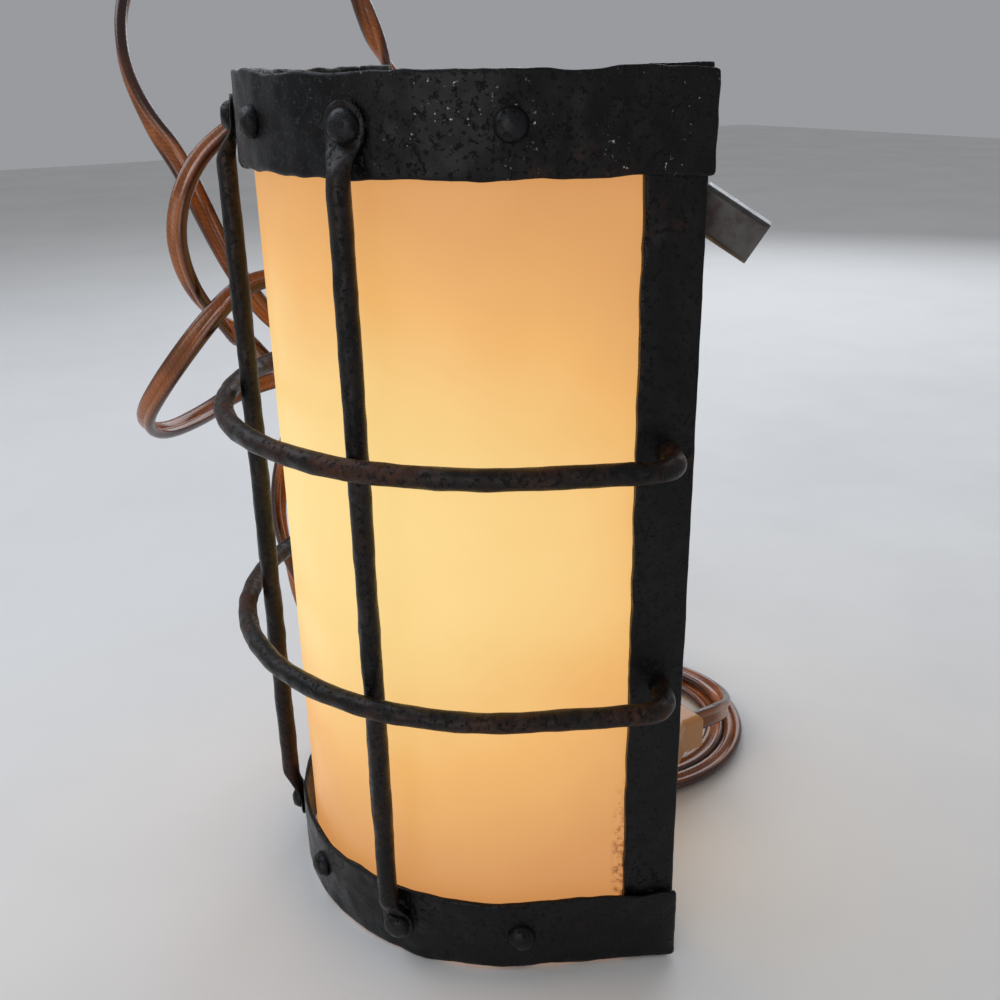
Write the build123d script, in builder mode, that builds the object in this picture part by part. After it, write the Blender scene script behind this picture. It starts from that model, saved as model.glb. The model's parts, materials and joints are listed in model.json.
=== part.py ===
from build123d import *
import os
from math import cos, pi, radians, sin, sqrt, tan

# Half-round wall lantern: a forged cage of two bands, two stiles, two guard rods and two hoops round a
# curved opal diffuser, with a hanging screw-base lamp inside and a flat twin cord at the back.
# Millimetres, +Z up. The lantern stands on its bottom band at Z = 0, its front looks along -Y and its
# open back is a plane at Y = BACK_Y. X = 0 is the plane of symmetry of the cage.

os.makedirs("parts", exist_ok=True)

# ---------------------------------------------------------------- driving dimensions of the cage
HEIGHT = 254.0
HALF_WIDTH = 83.5  # outer face of a band at the wall
DEPTH = 79.0  # wall to the outer face of a band at the nose
LEAN = 26.5  # degrees that the straight flanks lean inward
BAND_HEIGHT = 25.4
BAND_THICK = 2.0
STILE_THICK = 2.5
STILE_REACH = 17.0  # from the wall forward along the flank
STILE_INSET = 0.5  # stile ends below and above the band edges
WALL_SET = 0.4  # stiles and straps stop short of the wall plane of the bands
ROD_DIAMETER = 6.4
ROD_STANDOFF = 1.5  # rod's near side to the outer face of the bands
HOOP_DIAMETER = 6.4
HOOP_GAP = 0.2  # between a hoop and the rods it passes
HOOP_BEND = 7.0  # centreline radius where a hoop turns into its stile
HOOP_ENTRY = 8.5  # along the flank, wall to the middle of the hoop's end
HOOP_HEIGHTS = {"upper": 162.5, "lower": 95.0}
FIT = 0.05  # radial clearance round fixed shanks and tenons

# ---------------------------------------------------------------- rivets and rod ends
RIVET_STEP = 30.5  # degrees between rivets round the nose
RIVET_HEAD_RADIUS = 4.3
RIVET_HEAD_HEIGHT = 3.2
RIVET_SHANK_RADIUS = 2.3
PADDLE_RADIUS = 6.0
PADDLE_THICK = 2.2
PADDLE_NECK = 12.0  # rivet centre to where the rod is fully round
PADDLE_RELIEF = 0.3  # flat left round the rivet's head before the rod thickens

# ---------------------------------------------------------------- diffuser and what carries it
DIFFUSER_THICK = 3.0
DIFFUSER_START = 13.2  # along the flank, wall to the diffuser's edge
DIFFUSER_DROP = 6.0  # top of the lantern to the diffuser's upper edge
RUN_GAP = 0.3  # clearance round the sliding diffuser
NOSE_GAP = 0.7  # diffuser to ledge at the nose
LEDGE_THICK = 1.2
LEDGE_HALF_ANGLE = 2.4  # degrees, half of a ledge's width round the nose
LEDGE_SHELF_Z = 2.6
LEDGE_SHELF_THICK = 1.4
LEDGE_LEG_TOP = 19.0
LEDGE_REACH = 6.0
GUIDE_THICK = 0.8
GUIDE_HEIGHT = 20.0
GUIDE_DROP = 3.0  # top of the lantern to the guides' upper edge

# ---------------------------------------------------------------- cross straps and wall screws
STRAP_THICK = 2.5
STRAP_HEIGHT = 18.0
STRAP_TAB = 12.0  # tab along the stile, from the wall
UPPER_STRAP_Z = 233.0
LOWER_STRAP_Z = 4.0
WALL_SCREW_SPACING = 88.9
WALL_SCREW_RADIUS = 2.6
STEADY_SCREW_X = 45.0  # lower screw hole, clear of the coil behind
BUSHING_X = -60.0
BUSHING_HOLE_RADIUS = 5.6

# ---------------------------------------------------------------- lamp
LAMP_DEPTH = 35.0  # wall to the lamp's axis
BRACKET_THICK = 2.0
BRACKET_WIDTH = 26.0
BRACKET_LEG = 12.0
BRACKET_TOP = 246.0
BRACKET_NOSE = 13.0  # lamp axis to the bracket's front end
BRACKET_SCREW_X = 8.0
BRACKET_SCREW_DROP = 7.0  # bracket top to the screws
BRACKET_SCREW_RADIUS = 1.9
BRACKET_SCREW_HEAD_RADIUS = 3.6
BRACKET_SCREW_HEAD_HEIGHT = 1.8
BRACKET_SCREW_HEAD_TAPER = 20.0  # degrees
BRACKET_NUT_FLATS = 7.0
BRACKET_NUT_HEIGHT = 3.0
NIPPLE_RADIUS = 4.8
NIPPLE_BORE = 3.4
NIPPLE_LENGTH = 15.0
NIPPLE_PROUD = 5.5  # above the bracket's upper face
LOCKNUT_FLATS = 14.0
LOCKNUT_HEIGHT = 3.0
CAP_NECK_FLAT = 2.5  # flat ring of the holder cap round the nipple
CAP_RADIUS = 17.5
CAP_HEIGHT = 21.0
CAP_WALL = 1.4
OUTLET_RADIUS = 3.4
OUTLET_DROP = 16.5  # cap's top to the middle of the lead outlet
SHELL_RADIUS = 18.2
SHELL_WALL = 2.2
SHELL_LENGTH = 34.0
SHELL_SPIGOT = 6.0  # part of the shell that enters the cap
SHELL_LIP = 1.4
BASE_THICK = 9.0
SCREW_SHELL_WALL = 0.5
SCREW_SHELL_LENGTH = 22.0
CONTACT_THICK = 0.6
CONTACT_WIDTH = 7.0
TERMINAL_X = 8.5
TERMINAL_HEAD_RADIUS = 3.0
TERMINAL_HEAD_HEIGHT = 2.0
TERMINAL_SHANK_RADIUS = 1.5

# ---------------------------------------------------------------- bulb
BULB_CAP_RADIUS = 13.0
BULB_CAP_LENGTH = 20.0
BULB_THREAD_GAP = 0.3  # bulb cap in the screw shell
BULB_RADIUS = 30.0
BULB_LENGTH = 108.0  # tip contact to the far end of the glass
BULB_WALL = 0.9
BULB_NECK_RADIUS = 12.4
TIP_RADIUS = 4.6
TIP_HEIGHT = 3.4
TIP_CLEARANCE = 0.3
STEM_RADIUS = 2.2
FILAMENT_RADIUS = 0.35
FILAMENT_SPREAD = 8.0

# ---------------------------------------------------------------- wiring
LEAD_RADIUS = 1.1
LEAD_SPLIT = 1.5  # half distance between the two leads in the outlet
TAIL_RADIUS = 1.7
TAIL_SPLIT = 1.8  # half distance between the cord's two tails at the bushing
CONNECTOR_LENGTH = 18.0
CONNECTOR_WIDTH = 11.0
CONNECTOR_THICK = 8.0
CONNECTOR_WALL = 0.9
CONNECTOR_EDGE = 1.5
INSERT_LENGTH = 8.0
STRIP_THICK = 0.8
PORT_PITCH = 5.2
PORT_DEPTH = 7.0
# Each connector: its middle (x, behind the wall plane, z), its axis toward the closed end and its width.
CONNECTORS = {
    "right": ((72, 14, 216.5), (0.612, 0.586, -0.528), (0.38, 0.37, 0.85)),
    "left": ((-28, 15, 212), (0, 0.35, -0.94), (1, 0, 0)),
}

# ---------------------------------------------------------------- cord, its bushing, coil and plug
CORD_DIAMETER = 7.4  # width of the flat twin cord
CORD_LENGTH = 1800.0
BUSHING_FLANGE_RADIUS = 7.6
BUSHING_FLANGE_THICK = 1.6
BUSHING_INNER_LENGTH = 7.0
SLEEVE_LENGTH = 14.8  # tapered strain relief behind the flange
SLEEVE_RADIUS = 5.4
SLEEVE_END_RADIUS = 4.4
COIL_MEAN_DIAMETER = 86.0
COIL_LAYERS = 2  # turns beside each other, and on each other
COIL_CENTRE = (-25.0, 62.0)  # x, behind the wall plane
TIE_ROUNDING = 2.0
TIE_THICK = 1.2
TIE_WIDTH = 9.0
TIE_GAP = 0.2
TIE_ANGLES = (120, -60)
PLUG_LENGTH = 34.0
PLUG_WIDTH = 24.0
PLUG_NECK_WIDTH = 13.0
PLUG_HEIGHT = 13.0
PLUG_EDGE = 2.5
PLUG_SEAT = 0.3  # between the coil's top and the plug
BLADE_LENGTH = 16.0
BLADE_ROOT = 8.0  # part of a blade inside the plug
BLADE_WIDTHS = (6.35, 7.9)  # narrow and wide blade
BLADE_THICK = 1.5
BLADE_SPACING = 12.7
# The cord's route from the end of its strain relief to the coil: x, behind the wall plane, z.
CORD_ROUTE = [
    (-60, 16, 242), (-64.5, 34.5, 237.5), (-79.5, 47, 231), (-99, 47, 229.5), (-114, 36.5, 235),
    (-119, 21.5, 246.5), (-110, 9.5, 263.5), (-111.5, 3.5, 281), (-116.5, -6.5, 297.5),
    (-123, -29.5, 305), (-123, -57.5, 296), (-118, -75, 278.5), (-109, -81, 258), (-99, -78, 240),
    (-90.5, -71, 225.5), (-84.5, -66.5, 208), (-81, -59.5, 189), (-81, -48.5, 172),
    (-91.5, -30.5, 161), (-102, -16.5, 149), (-117, -12, 143.5), (-132, -18, 138.5),
    (-141, -31, 135), (-140.5, -47, 132), (-130.5, -61.5, 129), (-109, -84, 131),
    (-93, -95, 141.5), (-75.5, -90.5, 158.5), (-66, -77, 178), (-67, -62, 190),
    (-71, -43, 189), (-77, -20, 191), (-88, -3.5, 205), (-97.5, -3.5, 223.5),
    (-101, -17, 239.5), (-95.5, -37.5, 244), (-84.5, -55.5, 236), (-76.5, -72, 226),
    (-73.5, -81, 208), (-76, -78, 189.5), (-83, -66, 173.5), (-87, -52, 161.5), (-88, -41, 146),
    (-95, -41.5, 124), (-98, -48.5, 100.5), (-92, -48, 77.5), (-84, -43, 52), (-83, -37, 30),
    (-86, -25, 13.5), (-92, -8, 5), (-93, 12, 4), (-87.5, 31, 4), (-76.5, 46.5, 4), (-71.5, 61, 4),
]

# ---------------------------------------------------------------- sizes that follow
lean = radians(LEAN)
rod_offset = ROD_STANDOFF + ROD_DIAMETER / 2
hoop_offset = ROD_STANDOFF + ROD_DIAMETER + HOOP_GAP + HOOP_DIAMETER / 2
cage_front = DEPTH + hoop_offset + HOOP_DIAMETER / 2


def connector_rear(middle, axis, width):
    """How far behind the wall plane the rearmost point of a connector lies."""
    along = Vector(axis).normalized()
    wide = Vector(width).normalized()
    thick = along.cross(wide)
    reach = CONNECTOR_LENGTH / 2 * abs(along.Y)
    reach += (CONNECTOR_WIDTH / 2 - CONNECTOR_EDGE) * abs(wide.Y)
    reach += (CONNECTOR_THICK / 2 - CONNECTOR_EDGE) * abs(thick.Y)
    reach += CONNECTOR_EDGE * sqrt(wide.Y**2 + thick.Y**2)
    return middle[1] + reach


rear_reach = max(connector_rear(*connector) for connector in CONNECTORS.values())
BACK_Y = (cage_front - rear_reach) / 2
stile_inner = -BAND_THICK - STILE_THICK
wall_line = BACK_Y - WALL_SET
lamp_y = BACK_Y - LAMP_DEPTH
strap_front = wall_line - STRAP_THICK
band_mid_low = BAND_HEIGHT / 2
band_mid_high = HEIGHT - BAND_HEIGHT / 2


def nose_radius(flank_offset, nose_offset):
    """Radius of the nose arc that is tangent to both flanks at these outward offsets."""
    half_width = HALF_WIDTH + flank_offset / cos(lean)
    depth = DEPTH + nose_offset
    return (half_width * cos(lean) - depth * sin(lean)) / (1 - sin(lean))


def flank_x(offset, depth):
    """X of the right flank, offset outward, at a depth in front of the wall plane."""
    return HALF_WIDTH + offset / cos(lean) - depth * tan(lean)


def along_flank(reach, offset):
    """Point on the right flank, a reach forward of the wall along it, offset outward."""
    x = HALF_WIDTH - reach * sin(lean) + offset * cos(lean)
    y = BACK_Y - reach * cos(lean) - offset * sin(lean)
    return (x, y)


def mirrored(point):
    """The same point on the left side."""
    return (-point[0], point[1])


def nose_points(flank_offset, nose_offset):
    """Right tangent point and foremost point of a plan outline."""
    radius = nose_radius(flank_offset, nose_offset)
    centre_y = BACK_Y - DEPTH - nose_offset + radius
    tangent = (radius * cos(lean), centre_y - radius * sin(lean))
    return tangent, (0, centre_y - radius)


def plan_strip(outer, inner, start_outer, start_inner):
    """Plan of a strip bent half round; outer and inner are (flank offset, nose offset)."""
    tangent_out, front_out = nose_points(*outer)
    tangent_in, front_in = nose_points(*inner)
    with BuildSketch() as strip:
        with BuildLine():
            Line(start_outer, tangent_out)
            ThreePointArc(tangent_out, front_out, mirrored(tangent_out))
            Line(mirrored(tangent_out), mirrored(start_outer))
            Line(mirrored(start_outer), mirrored(start_inner))
            Line(mirrored(start_inner), mirrored(tangent_in))
            ThreePointArc(mirrored(tangent_in), front_in, tangent_in)
            Line(tangent_in, start_inner)
            Line(start_inner, start_outer)
        make_face()
    return strip.sketch


nose_centre_y = BACK_Y - DEPTH + nose_radius(0, 0)


def station(step, height, offset=0.0):
    """Plane on the nose, step rivets from the front, looking outward, offset from the band's face."""
    angle = radians(step * RIVET_STEP)
    radius = nose_radius(0, 0) + offset
    origin = (radius * sin(angle), nose_centre_y - radius * cos(angle), height)
    return Plane(origin=origin, x_dir=(cos(angle), sin(angle), 0), z_dir=(sin(angle), -cos(angle), 0))


def nose_sector(step, half_angle, outer_offset, inner_offset):
    """Plan of a short piece that follows the nose between two offsets."""
    base = nose_radius(0, 0)
    middle = step * RIVET_STEP - 90
    with BuildSketch() as sector:
        with BuildLine():
            start = middle - half_angle
            outer_arc = CenterArc((0, nose_centre_y), base + outer_offset, start, 2 * half_angle)
            inner_arc = CenterArc((0, nose_centre_y), base + inner_offset, start, 2 * half_angle)
            Line(outer_arc @ 0, inner_arc @ 0)
            Line(outer_arc @ 1, inner_arc @ 1)
        make_face()
    return sector.sketch


# Rivets per band: step from the front, and whether a guard rod is held there.
PLAIN_STEPS = (-2, 0, 2)
ROD_STEPS = {"left": -1, "right": 1}


# ================================================================ bands
def make_band(base_z):
    """One band with its rivet holes, standing on base_z."""
    with BuildPart() as band:
        with BuildSketch(Plane.XY.offset(base_z)):
            start_outer = (flank_x(0, 0), BACK_Y)
            start_inner = (flank_x(-BAND_THICK, 0), BACK_Y)
            add(plan_strip((0, 0), (-BAND_THICK, -BAND_THICK), start_outer, start_inner))
        extrude(amount=BAND_HEIGHT)
        for step in (*PLAIN_STEPS, *ROD_STEPS.values()):
            with Locations(station(step, base_z + BAND_HEIGHT / 2).location):
                Cylinder(RIVET_SHANK_RADIUS + FIT, 4 * BAND_THICK, mode=Mode.SUBTRACT)
    return band


top_band = make_band(HEIGHT - BAND_HEIGHT)
top_band.part.label = "top_band"
export_step(top_band.part, "parts/top_band.step")

bottom_band = make_band(0)
bottom_band.part.label = "bottom_band"
export_step(bottom_band.part, "parts/bottom_band.step")

# ================================================================ stiles
with BuildPart() as right_stile:
    with BuildSketch(Plane.XY.offset(STILE_INSET)):
        with BuildLine():
            Polyline(
                (flank_x(-BAND_THICK, WALL_SET), wall_line),
                along_flank(STILE_REACH, -BAND_THICK),
                along_flank(STILE_REACH, stile_inner),
                (flank_x(stile_inner, WALL_SET), wall_line),
                close=True,
            )
        make_face()
    extrude(amount=HEIGHT - 2 * STILE_INSET)
    for hoop_z in HOOP_HEIGHTS.values():
        entry = along_flank(HOOP_ENTRY, -BAND_THICK)
        drill = Plane(origin=(*entry, hoop_z), z_dir=(cos(lean), -sin(lean), 0))
        with Locations(drill.location):
            Cylinder(HOOP_DIAMETER / 2 + FIT, 4 * STILE_THICK, mode=Mode.SUBTRACT)
right_stile.part.label = "right_stile"
export_step(right_stile.part, "parts/right_stile.step")

with BuildPart() as left_stile:
    add(mirror(right_stile.part, about=Plane.YZ))
left_stile.part.label = "left_stile"
export_step(left_stile.part, "parts/left_stile.step")


# ================================================================ guard rods
def make_guard_rod(step):
    """Round rod outside the bands with a flattened paddle riveted to each band."""
    low = station(step, band_mid_low)
    reach = band_mid_high - band_mid_low
    round_length = reach - 2 * PADDLE_NECK
    paddle_flat = RIVET_HEAD_RADIUS + PADDLE_RELIEF
    paddle_root = 2 * sqrt(PADDLE_RADIUS**2 - paddle_flat**2)
    with BuildPart() as rod:
        axis_point = station(step, band_mid_low + PADDLE_NECK, rod_offset).origin
        with BuildSketch(Plane(origin=axis_point, x_dir=low.x_dir, z_dir=(0, 0, 1))):
            Circle(ROD_DIAMETER / 2)
        extrude(amount=round_length)
        for height, toward in ((band_mid_low, 1), (band_mid_high, -1)):
            with BuildSketch(station(step, height)):
                Circle(PADDLE_RADIUS)
            extrude(amount=PADDLE_THICK)
            flat_z = height + toward * paddle_flat
            flat = Plane(
                origin=station(step, flat_z, PADDLE_THICK / 2).origin,
                x_dir=low.x_dir,
                z_dir=(0, 0, toward),
            )
            full = Plane(
                origin=station(step, height + toward * PADDLE_NECK, rod_offset).origin,
                x_dir=low.x_dir,
                z_dir=(0, 0, toward),
            )
            with BuildSketch(flat):
                Rectangle(paddle_root, PADDLE_THICK)
            with BuildSketch(full):
                Circle(ROD_DIAMETER / 2)
            loft()
            with Locations(station(step, height).location):
                Cylinder(RIVET_SHANK_RADIUS + FIT, 4 * PADDLE_THICK, mode=Mode.SUBTRACT)
    return rod


for side, rod_step in ROD_STEPS.items():
    guard_rod = make_guard_rod(rod_step)
    guard_rod.part.label = f"{side}_guard_rod"
    export_step(guard_rod.part, f"parts/{side}_guard_rod.step")


# ================================================================ hoops
def make_hoop(height):
    """Round bar that follows the cage outside the rods; both ends turn into the stiles."""
    forward = (-sin(lean), -cos(lean))
    outward = (cos(lean), -sin(lean))
    tenon = along_flank(HOOP_ENTRY, stile_inner)
    bend_start = along_flank(HOOP_ENTRY, hoop_offset - HOOP_BEND)
    bend_end = along_flank(HOOP_ENTRY + HOOP_BEND, hoop_offset)
    bend_mid = tuple(
        centre + HOOP_BEND * (out - ahead) / sqrt(2)
        for centre, out, ahead in zip(
            along_flank(HOOP_ENTRY + HOOP_BEND, hoop_offset - HOOP_BEND), outward, forward
        )
    )
    tangent, front = nose_points(hoop_offset, hoop_offset)
    level = Plane.XY.offset(height)
    with BuildPart() as hoop:
        with BuildLine(level) as path:
            Line(tenon, bend_start)
            ThreePointArc(bend_start, bend_mid, bend_end)
            Line(bend_end, tangent)
            ThreePointArc(tangent, front, mirrored(tangent))
            Line(mirrored(tangent), mirrored(bend_end))
            ThreePointArc(mirrored(bend_end), mirrored(bend_mid), mirrored(bend_start))
            Line(mirrored(bend_start), mirrored(tenon))
        with BuildSketch(Plane(origin=(*tenon, height), z_dir=(*outward, 0))):
            Circle(HOOP_DIAMETER / 2)
        sweep(path=path.line)
    return hoop


for hoop_name, hoop_z in HOOP_HEIGHTS.items():
    cage_hoop = make_hoop(hoop_z)
    cage_hoop.part.label = f"{hoop_name}_hoop"
    export_step(cage_hoop.part, f"parts/{hoop_name}_hoop.step")


# ================================================================ rivets
def make_rivet(step, height, seat_offset, grip):
    """Dome-headed rivet: its head sits at seat_offset and its tail is flush, grip further in."""
    with BuildPart() as rivet:
        with BuildSketch(Plane.XZ):
            with BuildLine():
                Line((0, -grip), (RIVET_SHANK_RADIUS, -grip))
                Line((RIVET_SHANK_RADIUS, -grip), (RIVET_SHANK_RADIUS, 0))
                Line((RIVET_SHANK_RADIUS, 0), (RIVET_HEAD_RADIUS, 0))
                TangentArc((0, RIVET_HEAD_HEIGHT), (RIVET_HEAD_RADIUS, 0), tangent=(1, 0))
                Line((0, RIVET_HEAD_HEIGHT), (0, -grip))
            make_face()
        revolve(axis=Axis.Z)
    return rivet.part.moved(station(step, height, seat_offset).location)


with BuildPart() as top_band_rivets:
    for step in PLAIN_STEPS:
        add(make_rivet(step, band_mid_high, 0, BAND_THICK + GUIDE_THICK))
top_band_rivets.part.label = "top_band_rivets"
export_step(top_band_rivets.part, "parts/top_band_rivets.step")

with BuildPart() as bottom_band_rivets:
    for step in PLAIN_STEPS:
        add(make_rivet(step, band_mid_low, 0, BAND_THICK + LEDGE_THICK))
bottom_band_rivets.part.label = "bottom_band_rivets"
export_step(bottom_band_rivets.part, "parts/bottom_band_rivets.step")

with BuildPart() as rod_rivets:
    for step in ROD_STEPS.values():
        for height in (band_mid_low, band_mid_high):
            add(make_rivet(step, height, PADDLE_THICK, PADDLE_THICK + BAND_THICK))
rod_rivets.part.label = "rod_rivets"
export_step(rod_rivets.part, "parts/rod_rivets.step")

# ================================================================ ledges and guides of the diffuser
ledge_face = -BAND_THICK - LEDGE_THICK
with BuildPart() as diffuser_ledges:
    for step in PLAIN_STEPS:
        with BuildSketch(Plane.XY.offset(LEDGE_SHELF_Z)):
            add(nose_sector(step, LEDGE_HALF_ANGLE, -BAND_THICK, ledge_face))
        extrude(amount=LEDGE_LEG_TOP - LEDGE_SHELF_Z)
        with BuildSketch(Plane.XY.offset(LEDGE_SHELF_Z)):
            add(nose_sector(step, LEDGE_HALF_ANGLE, -BAND_THICK, ledge_face - LEDGE_REACH))
        extrude(amount=LEDGE_SHELF_THICK)
        with Locations(station(step, band_mid_low).location):
            Cylinder(RIVET_SHANK_RADIUS + FIT, 4 * (BAND_THICK + LEDGE_THICK), mode=Mode.SUBTRACT)
diffuser_ledges.part.label = "diffuser_ledges"
export_step(diffuser_ledges.part, "parts/diffuser_ledges.step")

with BuildPart() as diffuser_guides:
    for step in PLAIN_STEPS:
        with BuildSketch(Plane.XY.offset(HEIGHT - GUIDE_DROP)):
            add(nose_sector(step, LEDGE_HALF_ANGLE + 1, -BAND_THICK, -BAND_THICK - GUIDE_THICK))
        extrude(amount=-GUIDE_HEIGHT)
        with Locations(station(step, band_mid_high).location):
            Cylinder(RIVET_SHANK_RADIUS + FIT, 4 * (BAND_THICK + GUIDE_THICK), mode=Mode.SUBTRACT)
diffuser_guides.part.label = "diffuser_guides"
export_step(diffuser_guides.part, "parts/diffuser_guides.step")

# ================================================================ diffuser
diffuser_flank = stile_inner - RUN_GAP
diffuser_nose = ledge_face - NOSE_GAP
diffuser_foot = LEDGE_SHELF_Z + LEDGE_SHELF_THICK + RUN_GAP
with BuildPart() as opal_diffuser:
    with BuildSketch(Plane.XY.offset(diffuser_foot)):
        add(
            plan_strip(
                (diffuser_flank, diffuser_nose),
                (diffuser_flank - DIFFUSER_THICK, diffuser_nose - DIFFUSER_THICK),
                along_flank(DIFFUSER_START, diffuser_flank),
                along_flank(DIFFUSER_START, diffuser_flank - DIFFUSER_THICK),
            )
        )
    extrude(amount=HEIGHT - DIFFUSER_DROP - diffuser_foot)
opal_diffuser.part.label = "opal_diffuser"
export_step(opal_diffuser.part, "parts/opal_diffuser.step")


# ================================================================ cross straps
def make_strap(base_z, holes):
    """Flat strap between the stiles, its ends bent forward along them; holes are (x, z, radius)."""
    tab_end = along_flank(STRAP_TAB, stile_inner)
    tab_end_inner = along_flank(STRAP_TAB, stile_inner - STRAP_THICK)
    corner = (flank_x(stile_inner, WALL_SET), wall_line)
    inner_corner = (flank_x(stile_inner - STRAP_THICK, WALL_SET + STRAP_THICK), strap_front)
    right_side = [corner, tab_end, tab_end_inner, inner_corner]
    left_side = [mirrored(point) for point in reversed(right_side)]
    with BuildPart() as strap:
        with BuildSketch(Plane.XY.offset(base_z)):
            with BuildLine():
                Polyline(*right_side, *left_side, close=True)
            make_face()
        extrude(amount=STRAP_HEIGHT)
        for x, z, radius in holes:
            with Locations(Location((x, wall_line - STRAP_THICK / 2, z), (90, 0, 0))):
                Cylinder(radius, 3 * STRAP_THICK, mode=Mode.SUBTRACT)
    return strap


strap_mid_z = UPPER_STRAP_Z + STRAP_HEIGHT / 2
lower_strap_mid_z = LOWER_STRAP_Z + STRAP_HEIGHT / 2
bracket_screw_z = BRACKET_TOP - BRACKET_SCREW_DROP
half_spacing = WALL_SCREW_SPACING / 2
upper_strap_holes = [(x, strap_mid_z, WALL_SCREW_RADIUS) for x in (-half_spacing, half_spacing)]
upper_strap_holes += [
    (x, bracket_screw_z, BRACKET_SCREW_RADIUS + FIT) for x in (-BRACKET_SCREW_X, BRACKET_SCREW_X)
]
upper_strap_holes.append((BUSHING_X, strap_mid_z, BUSHING_HOLE_RADIUS))
upper_cross_strap = make_strap(UPPER_STRAP_Z, upper_strap_holes)
upper_cross_strap.part.label = "upper_cross_strap"
export_step(upper_cross_strap.part, "parts/upper_cross_strap.step")

lower_cross_strap = make_strap(LOWER_STRAP_Z, [(STEADY_SCREW_X, lower_strap_mid_z, WALL_SCREW_RADIUS)])
lower_cross_strap.part.label = "lower_cross_strap"
export_step(lower_cross_strap.part, "parts/lower_cross_strap.step")

# ================================================================ lamp bracket and its fasteners
bracket_back = strap_front
bracket_front = lamp_y - BRACKET_NOSE
with BuildPart() as lamp_bracket:
    with BuildSketch(Plane.YZ.offset(-BRACKET_WIDTH / 2)):
        with BuildLine():
            Polyline(
                (bracket_back, BRACKET_TOP),
                (bracket_back, BRACKET_TOP - BRACKET_LEG),
                (bracket_back - BRACKET_THICK, BRACKET_TOP - BRACKET_LEG),
                (bracket_back - BRACKET_THICK, BRACKET_TOP - BRACKET_THICK),
                (bracket_front, BRACKET_TOP - BRACKET_THICK),
                (bracket_front, BRACKET_TOP),
                close=True,
            )
        make_face()
    extrude(amount=BRACKET_WIDTH)
    front_corners = lamp_bracket.edges().filter_by(Axis.Z).group_by(Axis.Y)[0]
    fillet(front_corners, radius=BRACKET_WIDTH / 3)
    with Locations((0, lamp_y, BRACKET_TOP)):
        Cylinder(NIPPLE_RADIUS + FIT, 4 * BRACKET_THICK, mode=Mode.SUBTRACT)
    with Locations(
        *[
            Location((x, bracket_back - BRACKET_THICK / 2, bracket_screw_z), (90, 0, 0))
            for x in (-BRACKET_SCREW_X, BRACKET_SCREW_X)
        ]
    ):
        Cylinder(BRACKET_SCREW_RADIUS + FIT, 3 * BRACKET_THICK, mode=Mode.SUBTRACT)
lamp_bracket.part.label = "lamp_bracket"
export_step(lamp_bracket.part, "parts/lamp_bracket.step")

nut_seat = bracket_back - BRACKET_THICK
screw_end = nut_seat - BRACKET_NUT_HEIGHT - 1
with BuildPart() as bracket_screws:
    for x in (-BRACKET_SCREW_X, BRACKET_SCREW_X):
        with BuildSketch(Plane(origin=(x, wall_line, bracket_screw_z), x_dir=(1, 0, 0), z_dir=(0, -1, 0))):
            Circle(BRACKET_SCREW_RADIUS)
        extrude(amount=wall_line - screw_end)
        with BuildSketch(Plane(origin=(x, wall_line, bracket_screw_z), x_dir=(1, 0, 0), z_dir=(0, 1, 0))):
            Circle(BRACKET_SCREW_HEAD_RADIUS)
        extrude(amount=BRACKET_SCREW_HEAD_HEIGHT, taper=BRACKET_SCREW_HEAD_TAPER)
bracket_screws.part.label = "bracket_screws"
export_step(bracket_screws.part, "parts/bracket_screws.step")

with BuildPart() as bracket_nuts:
    for x in (-BRACKET_SCREW_X, BRACKET_SCREW_X):
        with BuildSketch(Plane(origin=(x, nut_seat, bracket_screw_z), x_dir=(1, 0, 0), z_dir=(0, -1, 0))):
            RegularPolygon(BRACKET_NUT_FLATS / 2, 6, major_radius=False)
            Circle(BRACKET_SCREW_RADIUS + FIT, mode=Mode.SUBTRACT)
        extrude(amount=BRACKET_NUT_HEIGHT)
bracket_nuts.part.label = "bracket_nuts"
export_step(bracket_nuts.part, "parts/bracket_nuts.step")

# ================================================================ nipple and locknut
nipple_top = BRACKET_TOP + NIPPLE_PROUD
with BuildPart() as threaded_nipple:
    with BuildSketch(Plane((0, lamp_y, nipple_top - NIPPLE_LENGTH))):
        Circle(NIPPLE_RADIUS)
        Circle(NIPPLE_BORE, mode=Mode.SUBTRACT)
    extrude(amount=NIPPLE_LENGTH)
threaded_nipple.part.label = "threaded_nipple"
export_step(threaded_nipple.part, "parts/threaded_nipple.step")

with BuildPart() as nipple_locknut:
    with BuildSketch(Plane((0, lamp_y, BRACKET_TOP))):
        RegularPolygon(LOCKNUT_FLATS / 2, 6, major_radius=False)
        Circle(NIPPLE_RADIUS + FIT, mode=Mode.SUBTRACT)
    extrude(amount=LOCKNUT_HEIGHT)
nipple_locknut.part.label = "nipple_locknut"
export_step(nipple_locknut.part, "parts/nipple_locknut.step")

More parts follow.
